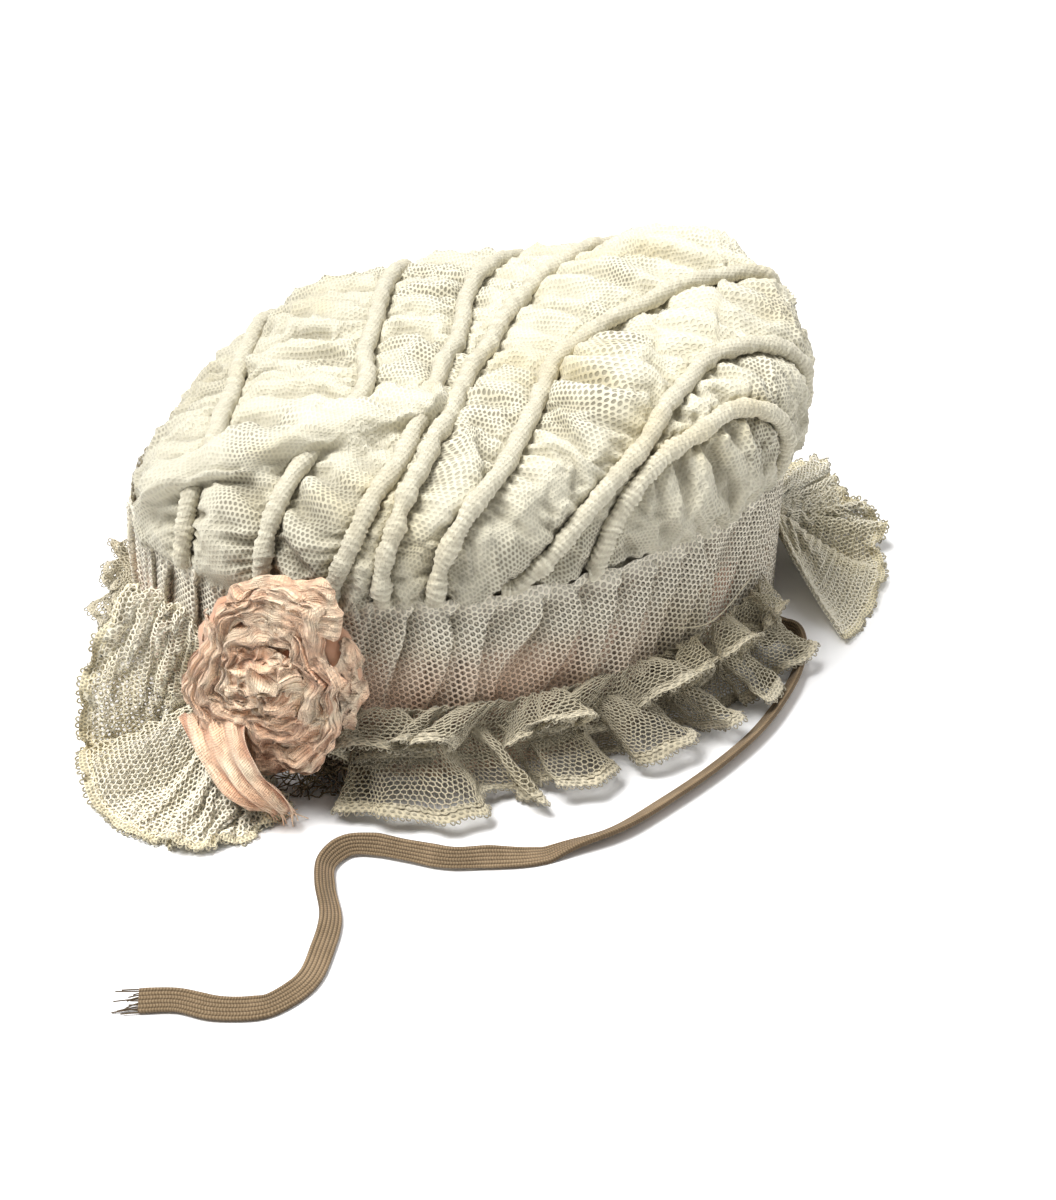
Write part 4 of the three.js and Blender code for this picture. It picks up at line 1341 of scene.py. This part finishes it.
def fan_surface(name, seed):
    """A fan of lace gathered at one point, in three soft petals, settled on the table."""
    degrees, gather_up, sink, edge = FANS[name]
    angle = np.array(math.radians(degrees))
    normal = band_normal(angle)
    tangent = np.array([-normal[1], normal[0], 0])
    height = FAN_REACH * gather_up
    gather = band_point(angle, 0.6, height)
    edge = between(np.array(edge) * FAN_REACH, np.linspace(0, 1, 300))
    outline = gather + tangent * edge[:, :1] + normal * edge[:, 1:2]
    outline[:, 2] = edge[:, 2]
    fabric = FAN_FULLNESS * way_along(outline)[-1]
    rows, columns = int(fabric / 1.25), 30
    share = np.linspace(0, 1, rows)[:, None]
    spread = np.linspace(0.06, 1, columns)[None, :]
    row = between(edge, share[:, 0])
    side, out, up = row[:, 0:1], row[:, 1:2], row[:, 2:3] - height
    fold = 3.0 * np.sin(share * 20 + 2.0 * ripple(share * 100, 30.0, seed)[:, None])
    fold = fold * np.sin(spread * math.pi * 0.8)
    fall = 1 - (1 - spread) ** (1 + sink)
    petal = (np.abs(np.sin(3 * np.pi * share)) ** 0.6 - 0.6) * spread
    out = out * spread ** (1 + 0.3 * sink) + 4.0 * petal
    grid = gather + (side * spread)[..., None] * tangent + out[..., None] * normal
    grid[..., 2] += up * fall + fold + 1.5 * petal
    keep_above(grid, 0.6)
    pinned = np.zeros((rows, columns), bool)
    pinned[:, 0] = True
    pinned[::9, -1] = True
    cloth = Cloth(grid, pinned)
    drop_step = FAN_DROP / (columns - 1)
    width = fabric * (0.30 + 0.70 * spread[0]) / (rows - 1)

    def across(share_of_width):
        return lambda a, b: share_of_width * width[a % columns]

    def down(length):
        return lambda a, b: np.full(len(a), length)

    def slant(a, b):
        return np.hypot(width[a % columns], drop_step)

    cloth.join((1, 0), across(1.0), 0.9)
    cloth.join((0, 1), down(drop_step), 0.6)
    cloth.join((1, 1), slant, 0.2)
    cloth.join((1, -1), slant, 0.2)
    cloth.join((2, 0), across(1.98), 0.12, True)
    cloth.join((0, 2), down(1.98 * drop_step), 0.12, True)

    def limit(points):
        turn = np.arctan2(points[:, 1] / BAND_LONG, points[:, 0] / BAND_SIDE)
        outward = band_normal(turn)
        apart = ((points - band_point(turn, 0.0, points[:, 2])) * outward).sum(1)
        return keep_above(points + outward * np.maximum(0.9 - apart, 0)[:, None], 0.5)

    return cloth.settle(90, np.array([0, 0, -0.008]), limit), fabric


def picots(edge, seed):
    """Small loops of thread along the last column of a hem."""
    chance = np.random.default_rng(seed)
    strands = Strands()
    line = edge[:, -1]
    length = way_along(line)
    turn = np.linspace(0, math.pi, 5)[:, None]
    for place in np.arange(0.8, length[-1] - 0.8, PICOT_STEP):
        index = int(np.searchsorted(length, place))
        along = unit(line[min(index + 1, len(edge) - 1)] - line[index - 1])
        outward = unit(line[index] - edge[index, -2])
        size = chance.uniform(0.5, 1.0)
        loop = line[index] + along * 0.55 * np.cos(turn) + outward * size * np.sin(turn)
        strands.add(keep_above(loop, 0.3))
    return strands


def lace_piece(name, surface, fabric, drop, pitch, radius, finish, hem):
    """Threads of net over a surface, with a firm hem along its free edge."""
    u, v, threads = honeycomb(fabric, drop - HEM_LAP, pitch)
    points = on_surface(surface, u, v * (1 - HEM_LAP / drop))
    points += 0.12 * shaken(points, 2.6, 90)
    net = thread_piece(name + "_net", keep_above(points, 0.35), threads, radius, finish)
    share = np.linspace(0, 1, 2 * surface.shape[0])
    grid_u, grid_v = np.meshgrid(share, np.linspace(1 - HEM_WIDTH / drop, 1.0, 6), indexing="ij")
    edge = keep_above(on_surface(surface, grid_u, grid_v), 0.4)
    edge += surface_normal(edge) * (0.18 * ripple(edge, 1.6, 95))[..., None]
    strip = new_piece(name + "_hem", edge, grid_faces(*edge.shape[:2]),
                      stacked(grid_u * fabric, grid_v * drop), finish=hem)
    loops = picots(edge, len(name)).piece(name + "_picots", radius * 0.9, hem)
    join_into(strip, loops)
    wear(net, "grey_lace", name)
    wear(strip, "grey_lace", name)
    return net, strip


def make_lace(lace, hem, fan, fan_hem, under):
    """The frills, and the fans with their finer under layer."""
    for index, row in enumerate(FRILLS):
        name, pitch = row[0], row[-1]
        surface, fabric, drop = frill_surface(row, 100 + 7 * index)
        net, strip = lace_piece(name, surface, fabric, drop, pitch, LACE_THREAD, lace, hem)
        drop / 1000
        fabric / 1000
    for index, name in enumerate(FANS):
        surface, fabric = fan_surface(name, 140 + index)
        flat, area = (FAN_DROP / 1000, fabric / 1000), FAN_DROP * fabric / 1e6
        net, strip = lace_piece(name, surface, fabric, FAN_DROP, FAN_MESH, FAN_THREAD, fan, fan_hem)
        0.66 * area
        grid_u, grid_v = np.meshgrid(np.linspace(0, 1, 150), np.linspace(0, 0.97, 36), indexing="ij")
        inner = on_surface(surface, grid_u, grid_v)
        normal = surface_normal(inner)
        inner = keep_above(inner - 0.9 * normal * np.sign(normal[..., 2:3] + 1e-6), 0.3)
        layer = new_piece(name + "_under", inner, grid_faces(150, 36),
                          stacked(grid_u * fabric, grid_v * FAN_DROP), finish=under)
        wear(layer, "grey_lace", name)
        0.62 * area


def rosette_frame():
    angle = math.radians(ROSETTE_ANGLE)
    normal = band_normal(np.array(angle))
    side = np.array([-normal[1], normal[0], 0])
    lean = math.radians(ROSETTE_LEAN)
    face = normal * math.cos(lean) + np.array([0, 0, math.sin(lean)])
    up = unit(np.cross(face, side))
    middle = band_point(np.array(angle), ROSETTE_OFF, ROSETTE_UP)
    return side, up, face, middle


def rosette_place(x, y, out):
    side, up, face, middle = rosette_frame()
    return middle + x[..., None] * side + (y[..., None] + 3.0) * up + out[..., None] * face


def crumpled(x, y, out, along, across, seed, size=1.0):
    """A crumpled silk surface from a smooth one, and painted shade for its creases."""
    place = stacked(x, y, 2.0 * out)
    fabric = stacked(0.22 * along, across, 0 * x)
    long_folds = creases(fabric, 3.4, seed) ** 2 - 0.3
    crush = creases(place, 6.5, seed + 1) ** 3 - 0.15
    fine = creases(fabric, 1.7, seed + 2) ** 2 - 0.3
    rise = 1.40 * long_folds + 0.8 * crush + 0.42 * fine + 0.18 * ripple(place, 3.2, seed + 3)
    rise *= size
    x = x + 0.5 * size * ripple(place, 5.0, seed + 4)
    y = y + 0.5 * size * ripple(place, 5.0, seed + 5)
    return rosette_place(x, y, out + rise), np.clip(0.36 - 0.42 * rise, 0, 1)


def make_rosette(finish):
    """One silk ribbon wound in layers from the edge to the middle, on a cushion."""
    turns, rows, columns = 3.3, 900, 26
    share = np.linspace(0, 1, rows)[:, None]
    over = np.linspace(0, 1, columns)[None, :]
    angle = 2.4 + turns * 2 * math.pi * share
    run = share * RIBBON_RUN
    middle = 0.85 * (1 - share) ** 0.85 * (0.84 + 0.16 * smoothstep(0.0, 0.07, share)) + 0.02
    wobble = 0.045 * ripple(run, 22.0, 201) + 0.025 * ripple(run, 8.0, 200)
    wobble = wobble[:, None] * (1 - share) ** 0.4
    # The ribbon's section: how far out on the rosette, and how high, from edge to edge.
    section = np.array([
        (-0.12, -3.0), (-0.10, -1.4), (-0.05, -0.3), (0.01, 0.2), (0.06, 0.1), (0.11, -0.5),
        (0.15, -1.4), (0.17, -2.8),
    ])
    shape = between(section, over[0])
    reach = middle + wobble + shape[None, :, 0] * (0.5 + 0.5 * np.sqrt(middle))
    reach = np.maximum(reach, 0.005)
    corner = np.abs(np.cos(angle - 0.2)) ** 3.4 + np.abs(np.sin(angle - 0.2)) ** 3.4
    reach = reach * (1 + (corner ** (-1 / 3.4) - 1) * 0.5)
    x = 0.90 * ROSETTE_WIDTH / 2 * reach * np.cos(angle) - 2.5 * (1 - middle) + 0.5
    y = 1.10 * ROSETTE_TALL / 2 * reach * np.sin(angle)
    flat_place = stacked(x, y)
    x = x + 1.5 * ripple(flat_place, 17.0, 207)
    y = y + 1.5 * ripple(flat_place, 17.0, 208)
    dome = ROSETTE_DEPTH * (0.42 + 0.50 * np.sqrt(np.clip(1 - middle ** 2, 0, 1)))
    out = dome - 1.0 + shape[None, :, 1]
    points, hollow_shade = crumpled(x, y, out, run, over * RIBBON_WIDTH, 210)
    # painted shade along the ribbon's two edges, added to its crease shade
    edges = smoothstep(0.82, 1.0, over) + smoothstep(0.20, 0.0, over)
    ribbon = new_piece("silk_rosette", points, grid_faces(rows, columns)[:, ::-1],
                       stacked(run, over * RIBBON_WIDTH), finish=finish,
                       shades={"hollow_shade": np.clip(hollow_shade + 0.30 * edges, 0, 1)})
    join_into(ribbon, rosette_back(finish), *rosette_flaps(finish))
    wear(ribbon, "pink_silk", "rosette")


def rosette_flaps(finish):
    """The ribbon's flat end over the top, its end on the right, long folds below, and its middle."""
    # How crumpled, and corners: upper left, upper right, lower right, lower left, each with its height.
    flaps = [
        (0.55, (-8.0, 22.0, 5.0), (15.0, 23.5, 3.0), (16.5, 9.5, 7.0), (-9.0, 12.5, 9.5)),
        (0.8, (15.0, 12.0, 5.5), (20.0, 6.0, 0.5), (19.0, -12.0, 0.5), (14.0, -10.0, 5.0)),
        (0.9, (-8.0, -7.0, 8.5), (17.0, -4.0, 7.5), (13.0, -19.5, 3.0), (-6.0, -17.0, 4.5)),
        (1.2, (-9.0, 7.5, 8.6), (8.0, 8.5, 9.0), (8.5, -7.0, 9.0), (-9.5, -8.0, 8.6)),
    ]
    made = []
    rows, columns = 64, 44
    u, v = np.meshgrid(np.linspace(0, 1, rows), np.linspace(0, 1, columns), indexing="ij")
    u3, v3 = u[..., None], v[..., None]
    round_off = 1 - 0.20 * ((2 * u3 - 1) * (2 * v3 - 1)) ** 2
    rim = np.minimum(np.minimum(u, 1 - u), np.minimum(v, 1 - v))
    bow = 1.6 * np.sin(np.pi * u) * np.sin(np.pi * v) - 1.8 * np.exp(-rim / 0.06)
    for number, (crush, *corners) in enumerate(flaps):
        a, b, c, d = np.array(corners)
        place = (a * (1 - u3) + b * u3) * (1 - v3) + (d * (1 - u3) + c * u3) * v3
        middle = (a + b + c + d) / 4
        x, y, out = np.moveaxis(middle + (place - middle) * round_off, -1, 0)
        x = x + 0.8 * ripple(stacked(x, y), 9.0, 240 + number)
        y = y + 0.8 * ripple(stacked(x, y), 9.0, 250 + number)
        points, hollow_shade = crumpled(x, y, out + bow, u * 26, v * 12, 260 + 10 * number, crush)
        made.append(new_piece(f"ribbon_end_{number}", points, grid_faces(rows, columns)[:, ::-1],
                              stacked(u * 26, v * 12), finish=finish, shades={"hollow_shade": hollow_shade}))
    return made


def rosette_back(finish):
    """The gathered cushion that the ribbon is sewn on, with its root on the band."""
    columns = 72
    angle = np.linspace(0, 2 * math.pi, columns, endpoint=False)[None, :]
    rings = []
    for share, out in ((0.0, 7.5), (0.3, 7.0), (0.55, 5.6), (0.75, 3.6), (0.88, 1.4), (0.90, 0.4),
                       (0.78, -1.0), (0.5, -4.0), (0.3, -7.2), (0.0, -7.9)):
        fold = 1 + 0.03 * np.sin(angle * 14)
        x = ROSETTE_WIDTH / 2 * share * fold * np.cos(angle)
        y = ROSETTE_TALL / 2 * share * fold * np.sin(angle)
        rings.append(rosette_place(x, y, np.full_like(x, out))[0])
    points = np.stack(rings)
    flat = np.zeros((len(rings), columns, 2))
    # painted shade: the cushion darkened all over, lying under the ribbon
    hollow_shade = np.full((len(rings), columns), 0.8)
    return new_piece("rosette_cushion", points, grid_faces(len(rings), columns, ring=True)[:, ::-1],
                     flat, finish=finish, shades={"hollow_shade": hollow_shade})


def make_tail(finish):
    """The ribbon's tail, folded along its length, and frayed at its end."""
    angle = math.radians(ROSETTE_ANGLE)
    normal = band_normal(np.array(angle))
    tangent = np.array([-normal[1], normal[0], 0])
    rows, columns = 90, 44
    share = np.linspace(0, 1, rows)[:, None]
    side, out, up = between(TAIL * ROSETTE_TALL, share[:, 0]).T
    line = band_point(np.full(rows, angle), out, up) + side[:, None] * tangent
    across = unit(np.cross(normal, np.gradient(line, axis=0)))
    place = np.linspace(-1, 1, columns)[None]
    width = TAIL_WIDTH / 2 * (2.3 - 1.5 * share ** 0.8)
    points = line[:, None] + across[:, None] * (width * place)[..., None]
    fold = 0.9 * np.sin(place * 10 + 1.0 + 4.5 * share) + 0.8 * (1 - place ** 2)
    fold = fold + 0.45 * ripple(stacked(share * 8, place * 9, 0 * place), 3.2, 211)
    points = points + normal * fold[..., None]
    # the tail carries painted shade in its folds
    tail = new_piece("silk_tail", points, grid_faces(rows, columns),
                     stacked(share * 34, (place + 1) * 5), finish=finish,
                     shades={"hollow_shade": np.clip(0.55 - 0.5 * fold, 0, 1)})
    chance = np.random.default_rng(31)
    strands = Strands()
    for column in range(0, columns, 2):
        ahead = unit(points[-1, column] - points[-10, column])
        reach = chance.uniform(2.0, 7.0)
        bend = chance.normal(size=3) * 1.1 + np.array([0, 0, -1.5])
        strands.fray(points[-6, column], ahead, reach, bend, 6, 0.4)
    fray = strands.piece("tail_fray", FRAY_THREAD, finish)
    wear(tail, "pink_silk", "rosette_tail")
    wear(fray, "pink_silk", "rosette_tail")


make_camera()
make_light()
make_floor()
THREADS = thread_tree()
make_tie(elastic_finish())
make_crown(crown_net_finish())
make_cords(cord_finish())
make_band(band_net_finish(), lining_finish())
lace = thread_finish("lace_thread", (0.62, 0.565, 0.43), (0.52, 0.45, 0.29), (0.43, 0.385, 0.295))
lace_hem = hem_finish("lace_hem", (0.72, 0.655, 0.51), (0.60, 0.52, 0.34), (0.50, 0.455, 0.35))
fan_hem = hem_finish("fan_hem", (0.82, 0.75, 0.55), (0.70, 0.60, 0.36), (0.62, 0.56, 0.43))
fan = thread_finish("fan_thread", (0.95, 0.90, 0.76), (0.84, 0.76, 0.54), (0.76, 0.71, 0.59))
make_lace(lace, lace_hem, fan, fan_hem, under_net_finish())
make_threads(lace, thread_finish("dark_fray_and_shade", (0.22, 0.16, 0.09), (0.42, 0.33, 0.15), (0.10, 0.08, 0.05)))
silk = silk_finish()
make_rosette(silk)
make_tail(silk)
